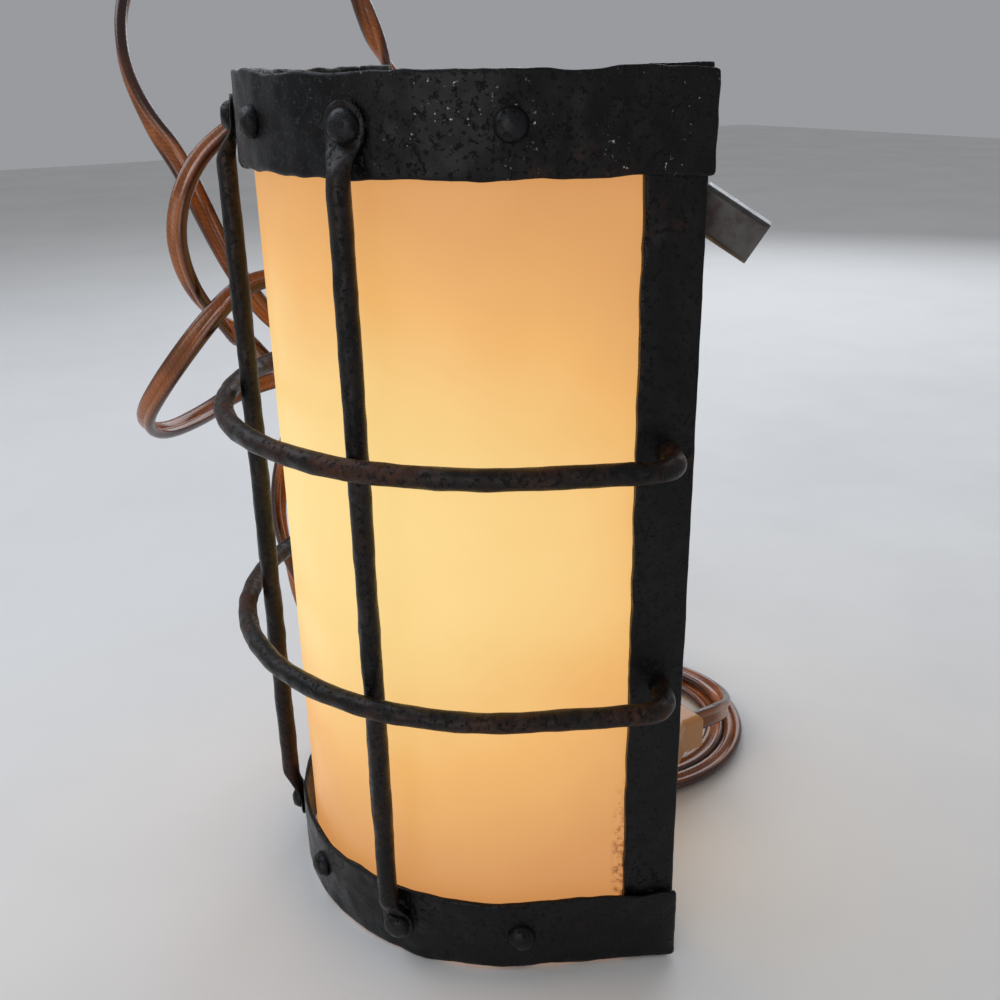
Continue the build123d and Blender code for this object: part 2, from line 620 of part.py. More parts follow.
# ================================================================ lampholder
cap_top = BRACKET_TOP - BRACKET_THICK
cap_foot = cap_top - CAP_HEIGHT
outlet_z = cap_top - OUTLET_DROP
lamp_section = Plane(origin=(0, lamp_y, 0), x_dir=(1, 0, 0), z_dir=(0, -1, 0))
lamp_axis = Axis((0, lamp_y, 0), (0, 0, 1))
cap_inner = CAP_RADIUS - CAP_WALL
cap_shoulder = CAP_HEIGHT / 2
with BuildPart() as holder_cap:
    with BuildSketch(lamp_section):
        with BuildLine():
            Line((0, cap_top), (NIPPLE_RADIUS + CAP_NECK_FLAT, cap_top))
            TangentArc(
                (NIPPLE_RADIUS + CAP_NECK_FLAT, cap_top), (CAP_RADIUS, cap_top - cap_shoulder), tangent=(1, 0)
            )
            Line((CAP_RADIUS, cap_top - cap_shoulder), (CAP_RADIUS, cap_foot))
            Line((CAP_RADIUS, cap_foot), (cap_inner, cap_foot))
            Line((cap_inner, cap_foot), (cap_inner, cap_top - cap_shoulder))
            TangentArc(
                (cap_inner, cap_top - cap_shoulder),
                (NIPPLE_RADIUS + CAP_NECK_FLAT, cap_top - 3 * CAP_WALL),
                tangent=(0, 1),
            )
            Line((NIPPLE_RADIUS + CAP_NECK_FLAT, cap_top - 3 * CAP_WALL), (0, cap_top - 3 * CAP_WALL))
            Line((0, cap_top - 3 * CAP_WALL), (0, cap_top))
        make_face()
    revolve(axis=lamp_axis)
    with Locations((0, lamp_y, cap_top)):
        Cylinder(NIPPLE_RADIUS + FIT, 3 * CAP_HEIGHT / 2, mode=Mode.SUBTRACT)
    with Locations(Location((0, lamp_y + CAP_RADIUS, outlet_z), (90, 0, 0))):
        Cylinder(OUTLET_RADIUS, 6 * CAP_WALL, mode=Mode.SUBTRACT)
holder_cap.part.label = "holder_cap"
export_step(holder_cap.part, "parts/holder_cap.step")

shell_inner = SHELL_RADIUS - SHELL_WALL - 1
shell_foot = cap_foot - SHELL_LENGTH
spigot_radius = cap_inner - 0.1
spigot_bore = spigot_radius - CAP_WALL
with BuildPart() as holder_shell:
    with BuildSketch(lamp_section):
        with BuildLine():
            Polyline(
                (spigot_bore, cap_foot + SHELL_SPIGOT - 3),
                (spigot_radius, cap_foot + SHELL_SPIGOT - 3),
                (spigot_radius, cap_foot),
                (SHELL_RADIUS, cap_foot),
                (SHELL_RADIUS - 0.6, shell_foot + 3),
                (SHELL_RADIUS + SHELL_LIP, shell_foot + 2),
                (SHELL_RADIUS + SHELL_LIP, shell_foot),
                (spigot_bore, shell_foot),
                close=True,
            )
        make_face()
    revolve(axis=lamp_axis)
holder_shell.part.label = "holder_shell"
export_step(holder_shell.part, "parts/holder_shell.step")

base_top = cap_foot + 1.5
base_low = base_top - BASE_THICK
base_radius = spigot_bore - 0.1
screw_shell_radius = BULB_CAP_RADIUS + BULB_THREAD_GAP + SCREW_SHELL_WALL
with BuildPart() as contact_base:
    with BuildSketch(Plane((0, lamp_y, base_low))):
        Circle(base_radius)
    extrude(amount=BASE_THICK)
    with Locations(*[(x, lamp_y, base_top - BASE_THICK / 4) for x in (-TERMINAL_X, TERMINAL_X)]):
        Cylinder(TERMINAL_SHANK_RADIUS + FIT, BASE_THICK / 2, mode=Mode.SUBTRACT)
contact_base.part.label = "contact_base"
export_step(contact_base.part, "parts/contact_base.step")

with BuildPart() as screw_shell:
    with BuildSketch(Plane((0, lamp_y, base_low - SCREW_SHELL_LENGTH))):
        Circle(screw_shell_radius)
        Circle(screw_shell_radius - SCREW_SHELL_WALL, mode=Mode.SUBTRACT)
    extrude(amount=SCREW_SHELL_LENGTH)
screw_shell.part.label = "screw_shell"
export_step(screw_shell.part, "parts/screw_shell.step")

contact_drop = 3.0
contact_low = base_low - contact_drop
with BuildPart() as centre_contact:
    with BuildSketch(Plane.YZ.offset(-CONTACT_WIDTH / 2)):
        with BuildLine():
            Polyline(
                (lamp_y + 9, base_low),
                (lamp_y + 2, base_low),
                (lamp_y - 5, contact_low + CONTACT_THICK),
                (lamp_y - 5, contact_low),
                (lamp_y + 5, contact_low),
                (lamp_y + 5, base_low - 2 * CONTACT_THICK),
                (lamp_y + 9, base_low - CONTACT_THICK),
                close=True,
            )
        make_face()
    extrude(amount=CONTACT_WIDTH)
centre_contact.part.label = "centre_contact"
export_step(centre_contact.part, "parts/centre_contact.step")

with BuildPart() as terminal_screws:
    for x in (-TERMINAL_X, TERMINAL_X):
        with BuildSketch(Plane((x, lamp_y, base_top))):
            Circle(TERMINAL_HEAD_RADIUS)
            Rectangle(4 * TERMINAL_HEAD_RADIUS, 0.8, mode=Mode.SUBTRACT)
        extrude(amount=TERMINAL_HEAD_HEIGHT)
        with BuildSketch(Plane((x, lamp_y, base_top + TERMINAL_HEAD_HEIGHT / 2))):
            Circle(TERMINAL_HEAD_RADIUS)
        extrude(amount=-TERMINAL_HEAD_HEIGHT / 2)
        with BuildSketch(Plane((x, lamp_y, base_top))):
            Circle(TERMINAL_SHANK_RADIUS)
        extrude(amount=-BASE_THICK / 2)
terminal_screws.part.label = "terminal_screws"
export_step(terminal_screws.part, "parts/terminal_screws.step")

# ================================================================ bulb, hanging cap upward
tip_top = contact_low - TIP_CLEARANCE
cap_shell_top = tip_top - TIP_HEIGHT
cap_shell_low = cap_shell_top - BULB_CAP_LENGTH
bulb_low = tip_top - BULB_LENGTH
bulb_centre_z = bulb_low + BULB_RADIUS

with BuildPart() as bulb_tip:
    with BuildSketch(Plane((0, lamp_y, cap_shell_top))):
        Circle(TIP_RADIUS)
    extrude(amount=TIP_HEIGHT, taper=12)
bulb_tip.part.label = "bulb_tip"
export_step(bulb_tip.part, "parts/bulb_tip.step")

with BuildPart() as bulb_cap:
    with BuildSketch(lamp_section):
        with BuildLine():
            Polyline(
                (0, cap_shell_top),
                (TIP_RADIUS + 2, cap_shell_top),
                (BULB_CAP_RADIUS - 1.5, cap_shell_top - 2.5),
                (BULB_CAP_RADIUS, cap_shell_top - 4),
                (BULB_CAP_RADIUS, cap_shell_low),
                (BULB_NECK_RADIUS + FIT, cap_shell_low),
                (BULB_NECK_RADIUS + FIT, cap_shell_top - 4.5),
                (0, cap_shell_top - 1.5),
                close=True,
            )
        make_face()
    revolve(axis=lamp_axis)
bulb_cap.part.label = "bulb_cap"
export_step(bulb_cap.part, "parts/bulb_cap.step")

neck_top = cap_shell_low + 9


def bulb_profile(inset):
    """Edges of the glass outline from the neck to the far end, inset by the wall."""
    neck = (BULB_NECK_RADIUS - inset, neck_top)
    throat = (BULB_NECK_RADIUS - inset, cap_shell_low - 4)
    belly = (BULB_RADIUS - inset, bulb_centre_z)
    bottom = (0, bulb_low + inset)
    slant = BULB_RADIUS - inset
    return neck, throat, belly, (slant * cos(pi / 4), bulb_centre_z - slant * sin(pi / 4)), bottom


with BuildPart() as bulb_glass:
    with BuildSketch(lamp_section):
        with BuildLine():
            neck, throat, belly, lower_mid, bottom = bulb_profile(0)
            Line(neck, throat)
            Spline(throat, belly, tangents=((0, -1), (0, -1)))
            ThreePointArc(belly, lower_mid, bottom)
            neck_in, throat_in, belly_in, lower_mid_in, bottom_in = bulb_profile(BULB_WALL)
            Line(bottom, bottom_in)
            ThreePointArc(bottom_in, lower_mid_in, belly_in)
            Spline(belly_in, throat_in, tangents=((0, 1), (0, 1)))
            Line(throat_in, neck_in)
            Line(neck_in, neck)
        make_face()
    revolve(axis=lamp_axis)
bulb_glass.part.label = "bulb_glass"
export_step(bulb_glass.part, "parts/bulb_glass.step")

stem_low = bulb_centre_z + 12
with BuildPart() as bulb_filament:
    with BuildSketch(Plane((0, lamp_y, stem_low))):
        Circle(STEM_RADIUS)
    extrude(amount=neck_top - stem_low)
    with BuildSketch(Plane((0, lamp_y, neck_top - 3))):
        Circle(BULB_NECK_RADIUS - BULB_WALL)
    extrude(amount=3)
    with BuildLine(Plane(origin=(0, lamp_y, 0), x_dir=(1, 0, 0), z_dir=(0, -1, 0))) as loop:
        FilletPolyline(
            (-STEM_RADIUS / 2, stem_low + 1),
            (-FILAMENT_SPREAD, stem_low - 6),
            (-FILAMENT_SPREAD, stem_low - 14),
            (FILAMENT_SPREAD, stem_low - 14),
            (FILAMENT_SPREAD, stem_low - 6),
            (STEM_RADIUS / 2, stem_low + 1),
            radius=2,
        )
    with BuildSketch(Plane(loop.line @ 0, z_dir=loop.line % 0)):
        Circle(FILAMENT_RADIUS)
    sweep(path=loop.line)
bulb_filament.part.label = "bulb_filament"
export_step(bulb_filament.part, "parts/bulb_filament.step")


# ================================================================ wiring
def bend_radii(points):
    """Largest radius that fits each corner of a route: 0.45 of the shorter run at it."""
    radii = []
    for before, corner, after in zip(points, points[1:], points[2:]):
        run_in = Vector(corner) - Vector(before)
        run_out = Vector(after) - Vector(corner)
        half_turn = radians(run_in.get_angle(run_out)) / 2
        radii.append(0.45 * min(run_in.length, run_out.length) / tan(half_turn))
    return radii


def make_wire(points, radius):
    """Round tube along straight runs joined by tangent arcs; returns it with its length."""
    with BuildPart() as wire:
        with BuildLine() as path:
            FilletPolyline(*points, radius=bend_radii(points))
        with BuildSketch(Plane(path.line @ 0, z_dir=path.line % 0)):
            Circle(radius)
        sweep(path=path.line)
    return wire.part, path.wires()[0].length


def behind(points):
    """Points given from the wall plane backward, in the lantern's own frame."""
    return [(x, BACK_Y + back, z) for x, back, z in points]


def connector_plane(name):
    """Plane in the middle of a connector, Z toward its closed end, X along its width."""
    middle, axis, width = CONNECTORS[name]
    return Plane(origin=behind([middle])[0], x_dir=width, z_dir=axis)


def port_point(name, side, depth):
    """Point on a port's axis, a depth inside the connector's mouth (negative is outside)."""
    local = Vector(side * PORT_PITCH / 2, 0, depth - CONNECTOR_LENGTH / 2)
    point = connector_plane(name).from_local_coords(local)
    return (point.X, point.Y, point.Z)


LEAD_PORT = 1
TAIL_PORT = -1
port_bottom = PORT_DEPTH - 0.1
approach = -8.0  # a wire is in line with its port from here
lead_z = base_top + TERMINAL_HEAD_HEIGHT + LEAD_RADIUS + 0.1
lead_start = lamp_y - BACK_Y


def lead_start_points(side):
    """First stretch of a lead: from its terminal screw through the cap's outlet."""
    return behind(
        [
            (side * TERMINAL_X, lead_start + 1, lead_z),
            (side * TERMINAL_X, lead_start + 6, lead_z),
            (side * LEAD_SPLIT, lead_start + 13, outlet_z),
            (side * LEAD_SPLIT, -7, outlet_z),
        ]
    )


left_lead_route = [
    *lead_start_points(-1),
    *behind([(-7, 2, 228), (-19, 4, 229.5)]),
    port_point("left", LEAD_PORT, approach),
    port_point("left", LEAD_PORT, port_bottom),
]
right_lead_route = [
    *lead_start_points(1),
    *behind([(13, 1.5, 227), (38, 0, 229), (52, 1, 229)]),
    port_point("right", LEAD_PORT, approach),
    port_point("right", LEAD_PORT, port_bottom),
]
with BuildPart() as holder_leads:
    for route in (left_lead_route, right_lead_route):
        add(make_wire(route, LEAD_RADIUS)[0])
holder_leads.part.label = "holder_leads"
export_step(holder_leads.part, "parts/holder_leads.step")

bushing_inner = -WALL_SET - STRAP_THICK - BUSHING_INNER_LENGTH
left_tail_route = [
    *behind(
        [
            (BUSHING_X - TAIL_SPLIT, bushing_inner, strap_mid_z),
            (BUSHING_X - TAIL_SPLIT, -16, strap_mid_z),
            (-61, -18.5, 232),
            (-57, -12, 227),
            (-46, 0, 228),
            (-35, 6.5, 230),
        ]
    ),
    port_point("left", TAIL_PORT, approach),
    port_point("left", TAIL_PORT, port_bottom),
]
right_tail_route = [
    *behind(
        [
            (BUSHING_X + TAIL_SPLIT, bushing_inner, strap_mid_z),
            (BUSHING_X + TAIL_SPLIT, -16, strap_mid_z),
            (-56, -18.5, 232),
            (-50, -12, 225),
            (-33, 0, 224),
            (0, 5, 223),
            (36, 4.5, 224),
        ]
    ),
    port_point("right", TAIL_PORT, approach),
    port_point("right", TAIL_PORT, port_bottom),
]
with BuildPart() as cord_tails:
    for route in (left_tail_route, right_tail_route):
        add(make_wire(route, TAIL_RADIUS)[0])
cord_tails.part.label = "cord_tails"
export_step(cord_tails.part, "parts/cord_tails.step")

# ---------------------------------------------------------------- push-in connectors
with BuildPart() as connector_housings:
    for name in CONNECTORS:
        with BuildSketch(connector_plane(name).offset(-CONNECTOR_LENGTH / 2)):
            RectangleRounded(CONNECTOR_WIDTH, CONNECTOR_THICK, CONNECTOR_EDGE)
        extrude(amount=CONNECTOR_LENGTH)
        with BuildSketch(connector_plane(name).offset(-CONNECTOR_LENGTH / 2)):
            Rectangle(CONNECTOR_WIDTH - 2 * CONNECTOR_WALL, CONNECTOR_THICK - 2 * CONNECTOR_WALL)
        extrude(amount=CONNECTOR_LENGTH - CONNECTOR_WALL, mode=Mode.SUBTRACT)
connector_housings.part.label = "connector_housings"
export_step(connector_housings.part, "parts/connector_housings.step")

insert_width = CONNECTOR_WIDTH - 2 * (CONNECTOR_WALL + FIT)
insert_thick = CONNECTOR_THICK - 2 * (CONNECTOR_WALL + FIT)
with BuildPart() as connector_inserts:
    for name in CONNECTORS:
        with BuildSketch(connector_plane(name).offset(-CONNECTOR_LENGTH / 2)):
            Rectangle(insert_width, insert_thick)
        extrude(amount=INSERT_LENGTH)
        mouth = connector_plane(name).offset(-CONNECTOR_LENGTH / 2)
        for side, radius in ((LEAD_PORT, LEAD_RADIUS), (TAIL_PORT, TAIL_RADIUS)):
            with BuildSketch(mouth):
                with Locations((side * PORT_PITCH / 2, 0)):
                    Circle(radius + FIT)
            extrude(amount=PORT_DEPTH, mode=Mode.SUBTRACT)
connector_inserts.part.label = "connector_inserts"
export_step(connector_inserts.part, "parts/connector_inserts.step")

with BuildPart() as connector_strips:
    for name in CONNECTORS:
        with BuildSketch(connector_plane(name).offset(INSERT_LENGTH + FIT - CONNECTOR_LENGTH / 2)):
            Rectangle(insert_width - 1, STRIP_THICK)
        extrude(amount=CONNECTOR_LENGTH - INSERT_LENGTH - CONNECTOR_WALL - 2 * FIT)
connector_strips.part.label = "connector_strips"
export_step(connector_strips.part, "parts/connector_strips.step")

# ---------------------------------------------------------------- cord bushing with its strain relief
with BuildPart() as cord_bushing:
    backward = Plane(origin=(BUSHING_X, wall_line, strap_mid_z), x_dir=(1, 0, 0), z_dir=(0, 1, 0))
    with BuildSketch(backward):
        Circle(BUSHING_FLANGE_RADIUS)
    extrude(amount=BUSHING_FLANGE_THICK)
    with BuildSketch(backward.offset(BUSHING_FLANGE_THICK)):
        Circle(SLEEVE_RADIUS)
    with BuildSketch(backward.offset(BUSHING_FLANGE_THICK + SLEEVE_LENGTH)):
        Circle(SLEEVE_END_RADIUS)
    loft()
    with BuildSketch(backward):
        Circle(BUSHING_HOLE_RADIUS - FIT)
    extrude(amount=-(STRAP_THICK + BUSHING_INNER_LENGTH))
cord_bushing.part.label = "cord_bushing"
export_step(cord_bushing.part, "parts/cord_bushing.step")

# ---------------------------------------------------------------- cord from the strain relief to the coil
cord_points = behind(CORD_ROUTE)
flat_cord, cord_run = make_wire(cord_points, CORD_DIAMETER / 2)
flat_cord.label = "flat_cord"
export_step(flat_cord, "parts/flat_cord.step")
print("cord radii:", " ".join(f"{radius:.1f}" for radius in bend_radii(cord_points)))
cord_section = pi * (CORD_DIAMETER / 2) ** 2
print(f"cord run {cord_run:.1f}, volume over section {flat_cord.volume / cord_section:.1f}")

# ---------------------------------------------------------------- coil of the rest of the cord
coil_centre = (COIL_CENTRE[0], BACK_Y + COIL_CENTRE[1])
coil_radius = COIL_MEAN_DIAMETER / 2
coil_half = COIL_LAYERS * CORD_DIAMETER / 2
coil_base = TIE_THICK + TIE_GAP
coil_top = coil_base + 2 * coil_half
with BuildPart() as cord_coil:
    with BuildSketch(Plane((*coil_centre, coil_base))):
        Circle(coil_radius + coil_half)
        Circle(coil_radius - coil_half, mode=Mode.SUBTRACT)
    extrude(amount=coil_top - coil_base)
cord_coil.part.label = "cord_coil"
export_step(cord_coil.part, "parts/cord_coil.step")

with BuildPart() as coil_ties:
    for angle in TIE_ANGLES:
        radial = (cos(radians(angle)), sin(radians(angle)), 0)
        along = (-sin(radians(angle)), cos(radians(angle)), 0)
        middle = (
            coil_centre[0] + coil_radius * radial[0],
            coil_centre[1] + coil_radius * radial[1],
            coil_base + coil_half,
        )
        inside = 2 * (coil_half + TIE_GAP)
        with BuildSketch(Plane(origin=middle, x_dir=radial, z_dir=along)):
            RectangleRounded(inside + 2 * TIE_THICK + 1, inside + 2 * TIE_THICK, TIE_ROUNDING)
            Rectangle(inside + 1, inside, mode=Mode.SUBTRACT)
        extrude(amount=TIE_WIDTH / 2, both=True)
coil_ties.part.label = "coil_ties"
export_step(coil_ties.part, "parts/coil_ties.step")

# ---------------------------------------------------------------- end of the cord and its plug, on the coil
plug_z = coil_top + PLUG_SEAT + PLUG_HEIGHT / 2
top_turn_z = coil_top - CORD_DIAMETER / 2
plug_rear = (coil_centre[0] + 40.5, coil_centre[1] + 2, plug_z)
end_route = [(-4, 43, 0), (14.5, 40.5, 1), (30.5, 30, 5), (38, 17.5, 9)]
end_points = [(coil_centre[0] + x, coil_centre[1] + y, top_turn_z + z) for x, y, z in end_route]
end_points.append(plug_rear)
cord_end, end_run = make_wire(end_points, CORD_DIAMETER / 2)
cord_end.label = "cord_end"
export_step(cord_end, "parts/cord_end.step")
print("cord end radii:", " ".join(f"{radius:.1f}" for radius in bend_radii(end_points)))
coil_length = CORD_LENGTH - cord_run - end_run
print(f"coil holds {coil_length:.0f} in {coil_length / (pi * COIL_MEAN_DIAMETER):.2f} turns")

plug_front_y = plug_rear[1] - PLUG_LENGTH
half_plug = PLUG_WIDTH / 2
half_neck = PLUG_NECK_WIDTH / 2
with BuildPart() as plug_body:
    with BuildSketch(Plane((plug_rear[0], plug_rear[1], plug_z - PLUG_HEIGHT / 2))):
        with BuildLine():
            Polyline(
                (half_neck, 0),
                (half_neck, -PLUG_LENGTH / 4),
                (half_plug, -PLUG_LENGTH / 2),
                (half_plug, -PLUG_LENGTH),
                (-half_plug, -PLUG_LENGTH),
                (-half_plug, -PLUG_LENGTH / 2),
                (-half_neck, -PLUG_LENGTH / 4),
                (-half_neck, 0),
                close=True,
            )
        make_face()
    extrude(amount=PLUG_HEIGHT)
    fillet(plug_body.edges().filter_by(Axis.Z).group_by(Axis.Y)[0], radius=PLUG_EDGE)
    fillet(plug_body.faces().sort_by(Axis.Z)[-1].edges(), radius=PLUG_EDGE)
    blades = []
    for side, width in zip((-1, 1), BLADE_WIDTHS):
        blades.append((plug_rear[0] + side * BLADE_SPACING / 2, width))
    for x, width in blades:
        with BuildSketch(Plane(origin=(x, plug_front_y, plug_z), x_dir=(1, 0, 0), z_dir=(0, 1, 0))):
            Rectangle(BLADE_THICK, width)
        extrude(amount=BLADE_ROOT, mode=Mode.SUBTRACT)
plug_body.part.label = "plug_body"
export_step(plug_body.part, "parts/plug_body.step")

with BuildPart() as plug_blades:
    for x, width in blades:
        root = Plane(origin=(x, plug_front_y + BLADE_ROOT, plug_z), x_dir=(1, 0, 0), z_dir=(0, -1, 0))
        with BuildSketch(root):
            Rectangle(BLADE_THICK, width)
        extrude(amount=BLADE_ROOT + BLADE_LENGTH)
        tip = plug_blades.faces().filter_by(Axis.Y).sort_by(Axis.Y)[0]
        chamfer(tip.edges(), length=BLADE_THICK / 4)
plug_blades.part.label = "plug_blades"
export_step(plug_blades.part, "parts/plug_blades.step")
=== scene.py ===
"""Half-round forged wall lantern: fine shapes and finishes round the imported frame.

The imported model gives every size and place. The forged pieces are drawn again here with hammered
faces and uneven edges, the cord gets its flat twin section, and every piece gets its finish.
All lengths are in metres.
"""

from __future__ import annotations

import json
import logging
import math
import random
from dataclasses import dataclass, field
from enum import Enum

import bpy
from mathutils import Matrix, Vector

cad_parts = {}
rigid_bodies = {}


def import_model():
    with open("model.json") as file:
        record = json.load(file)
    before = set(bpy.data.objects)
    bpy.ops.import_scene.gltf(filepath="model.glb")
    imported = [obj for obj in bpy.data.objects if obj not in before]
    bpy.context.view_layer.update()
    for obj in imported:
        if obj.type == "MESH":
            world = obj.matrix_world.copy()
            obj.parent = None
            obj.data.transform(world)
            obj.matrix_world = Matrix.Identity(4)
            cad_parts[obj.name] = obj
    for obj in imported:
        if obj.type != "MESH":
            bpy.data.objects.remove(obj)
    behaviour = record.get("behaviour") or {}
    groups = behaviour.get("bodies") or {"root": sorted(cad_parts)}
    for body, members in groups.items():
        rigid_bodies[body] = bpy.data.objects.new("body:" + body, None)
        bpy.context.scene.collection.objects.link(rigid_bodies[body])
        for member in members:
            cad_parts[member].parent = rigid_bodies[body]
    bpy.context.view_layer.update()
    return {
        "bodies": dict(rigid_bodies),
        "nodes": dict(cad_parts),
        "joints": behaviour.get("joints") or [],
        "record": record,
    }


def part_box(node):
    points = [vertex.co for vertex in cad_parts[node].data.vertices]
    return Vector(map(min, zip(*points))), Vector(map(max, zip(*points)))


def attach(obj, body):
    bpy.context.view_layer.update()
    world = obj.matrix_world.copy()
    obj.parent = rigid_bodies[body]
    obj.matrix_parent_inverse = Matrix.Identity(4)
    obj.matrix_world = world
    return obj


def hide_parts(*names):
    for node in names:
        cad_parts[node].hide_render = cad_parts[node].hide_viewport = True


MM = 0.001
LOG = logging.getLogger("lantern")


# ==================================================================== bench work on meshes
def put_down() -> None:
    """Leave edit mode and deselect everything."""
    if bpy.context.object and bpy.context.object.mode != "OBJECT":
        bpy.ops.object.mode_set(mode="OBJECT")
    bpy.ops.object.select_all(action="DESELECT")


def pick_up(piece: bpy.types.Object) -> None:
    """Select one piece alone and make it active.

    Args:
        piece: The object to work on.
    """
    put_down()
    piece.select_set(True)
    bpy.context.view_layer.objects.active = piece


def named(name: str) -> bpy.types.Object:
    """Name the primitive just added.

    Args:
        name: The piece's plain name.

    Returns:
        The renamed object.
    """
    piece = bpy.context.active_object
    piece.name = name
    piece.data.name = name
    return piece


def settle(piece: bpy.types.Object) -> None:
    """Put a piece's place, turn and scale into its mesh.

    Args:
        piece: The object whose transform becomes the identity.
    """
    pick_up(piece)
    bpy.ops.object.transform_apply(location=True, rotation=True, scale=True)


def apply_modifiers(piece: bpy.types.Object) -> None:
    """Apply every modifier of a piece in order.

    Args:
        piece: The object whose modifiers become part of its mesh.
    """
    pick_up(piece)
    for modifier in list(piece.modifiers):
        bpy.ops.object.modifier_apply(modifier=modifier.name)


def close_up(piece: bpy.types.Object) -> None:
    """Merge doubles, drop inner faces and turn every face outward.

    Args:
        piece: The object to clean.
    """
    pick_up(piece)
    bpy.ops.object.mode_set(mode="EDIT")
    bpy.ops.mesh.select_all(action="DESELECT")
    bpy.context.tool_settings.mesh_select_mode = (False, False, True)
    bpy.ops.mesh.select_interior_faces()
    bpy.ops.mesh.delete(type="FACE")
    bpy.ops.mesh.select_all(action="SELECT")
    bpy.ops.mesh.remove_doubles(threshold=0.01 * MM)
    bpy.ops.mesh.normals_make_consistent(inside=False)
    bpy.ops.object.mode_set(mode="OBJECT")


def smooth(piece: bpy.types.Object, angle: float = 50.0) -> None:
    """Shade a piece smooth below an angle.

    Args:
        piece: The object to shade.
        angle: Largest angle between smooth faces, in degrees.
    """
    pick_up(piece)
    bpy.ops.object.shade_smooth_by_angle(angle=math.radians(angle))


def subdivide_surface(piece: bpy.types.Object, levels: int) -> None:
    """Add and apply a subdivision surface.

    Args:
        piece: The object to round.
        levels: Viewport and render levels.
    """
    modifier = piece.modifiers.new("rounding", "SUBSURF")
    modifier.levels = levels
    modifier.render_levels = levels
    apply_modifiers(piece)


def join(name: str, pieces: list[bpy.types.Object]) -> bpy.types.Object:
    """Join pieces into one object.

    Args:
        name: Name of the joined object.
        pieces: Objects to join, the first one stays.

    Returns:
        The joined object.
    """
    pick_up(pieces[0])
    for piece in pieces[1:]:
        piece.select_set(True)
    bpy.ops.object.join()
    return named(name)


class Marks(Enum):
    """Kinds of hammer work, as the kind of noise that drives them."""

    WAVES = "CLOUDS"
    DENTS = "VORONOI"


@dataclass(frozen=True)
class Hammering:
    """One pass of the hammer over a piece.

    Attributes:
        WAVE_CONTRAST: Contrast of the waves.
        FACE_REST: Share of the depth that goes into the metal, on a face.
        marks: Kind of mark.
        size: Distance between marks.
        depth: Span from the deepest mark to the highest.
        direction: NORMAL, or the axis along which edges waver.
        group: Vertex group that limits the pass.
        lift: True where the marks rise against the axis.
    """

    WAVE_CONTRAST = 1.7
    FACE_REST = 0.75

    marks: Marks
    size: float
    depth: float
    direction: str = "NORMAL"
    group: str = ""
    lift: bool = False

    def strike(self, piece: bpy.types.Object) -> None:
        """Work the marks into a piece's mesh.

        Args:
            piece: The object to mark.
        """
        texture = bpy.data.textures.new(f"{piece.name}_{self.marks.name}", self.marks.value)
        texture.noise_scale = self.size
        if self.marks is Marks.DENTS:
            texture.distance_metric = "DISTANCE_SQUARED"
            texture.noise_intensity = 1.0
        else:
            texture.noise_depth = 1
            texture.contrast = self.WAVE_CONTRAST
        modifier = piece.modifiers.new("marks", "DISPLACE")
        modifier.texture = texture
        modifier.texture_coords = "LOCAL"
        modifier.direction = self.direction
        modifier.mid_level = 0.0 if self.lift else 1.0
        if self.direction == "NORMAL":
            modifier.mid_level = self.FACE_REST
        modifier.strength = self.depth
        modifier.vertex_group = self.group
        apply_modifiers(piece)


def group_by_height(piece: bpy.types.Object, name: str, low: float, high: float) -> None:
    """Make a vertex group that fades in from one height to another.

    Args:
        piece: The object that gets the group.
        name: The group's name.
        low: Height where the weight is 0.
        high: Height where the weight is 1.
    """
    group = piece.vertex_groups.new(name=name)
    for vertex in piece.data.vertices:
        weight = (vertex.co.z - low) / (high - low)
        if weight > 0:
            group.add([vertex.index], min(1.0, weight), "REPLACE")


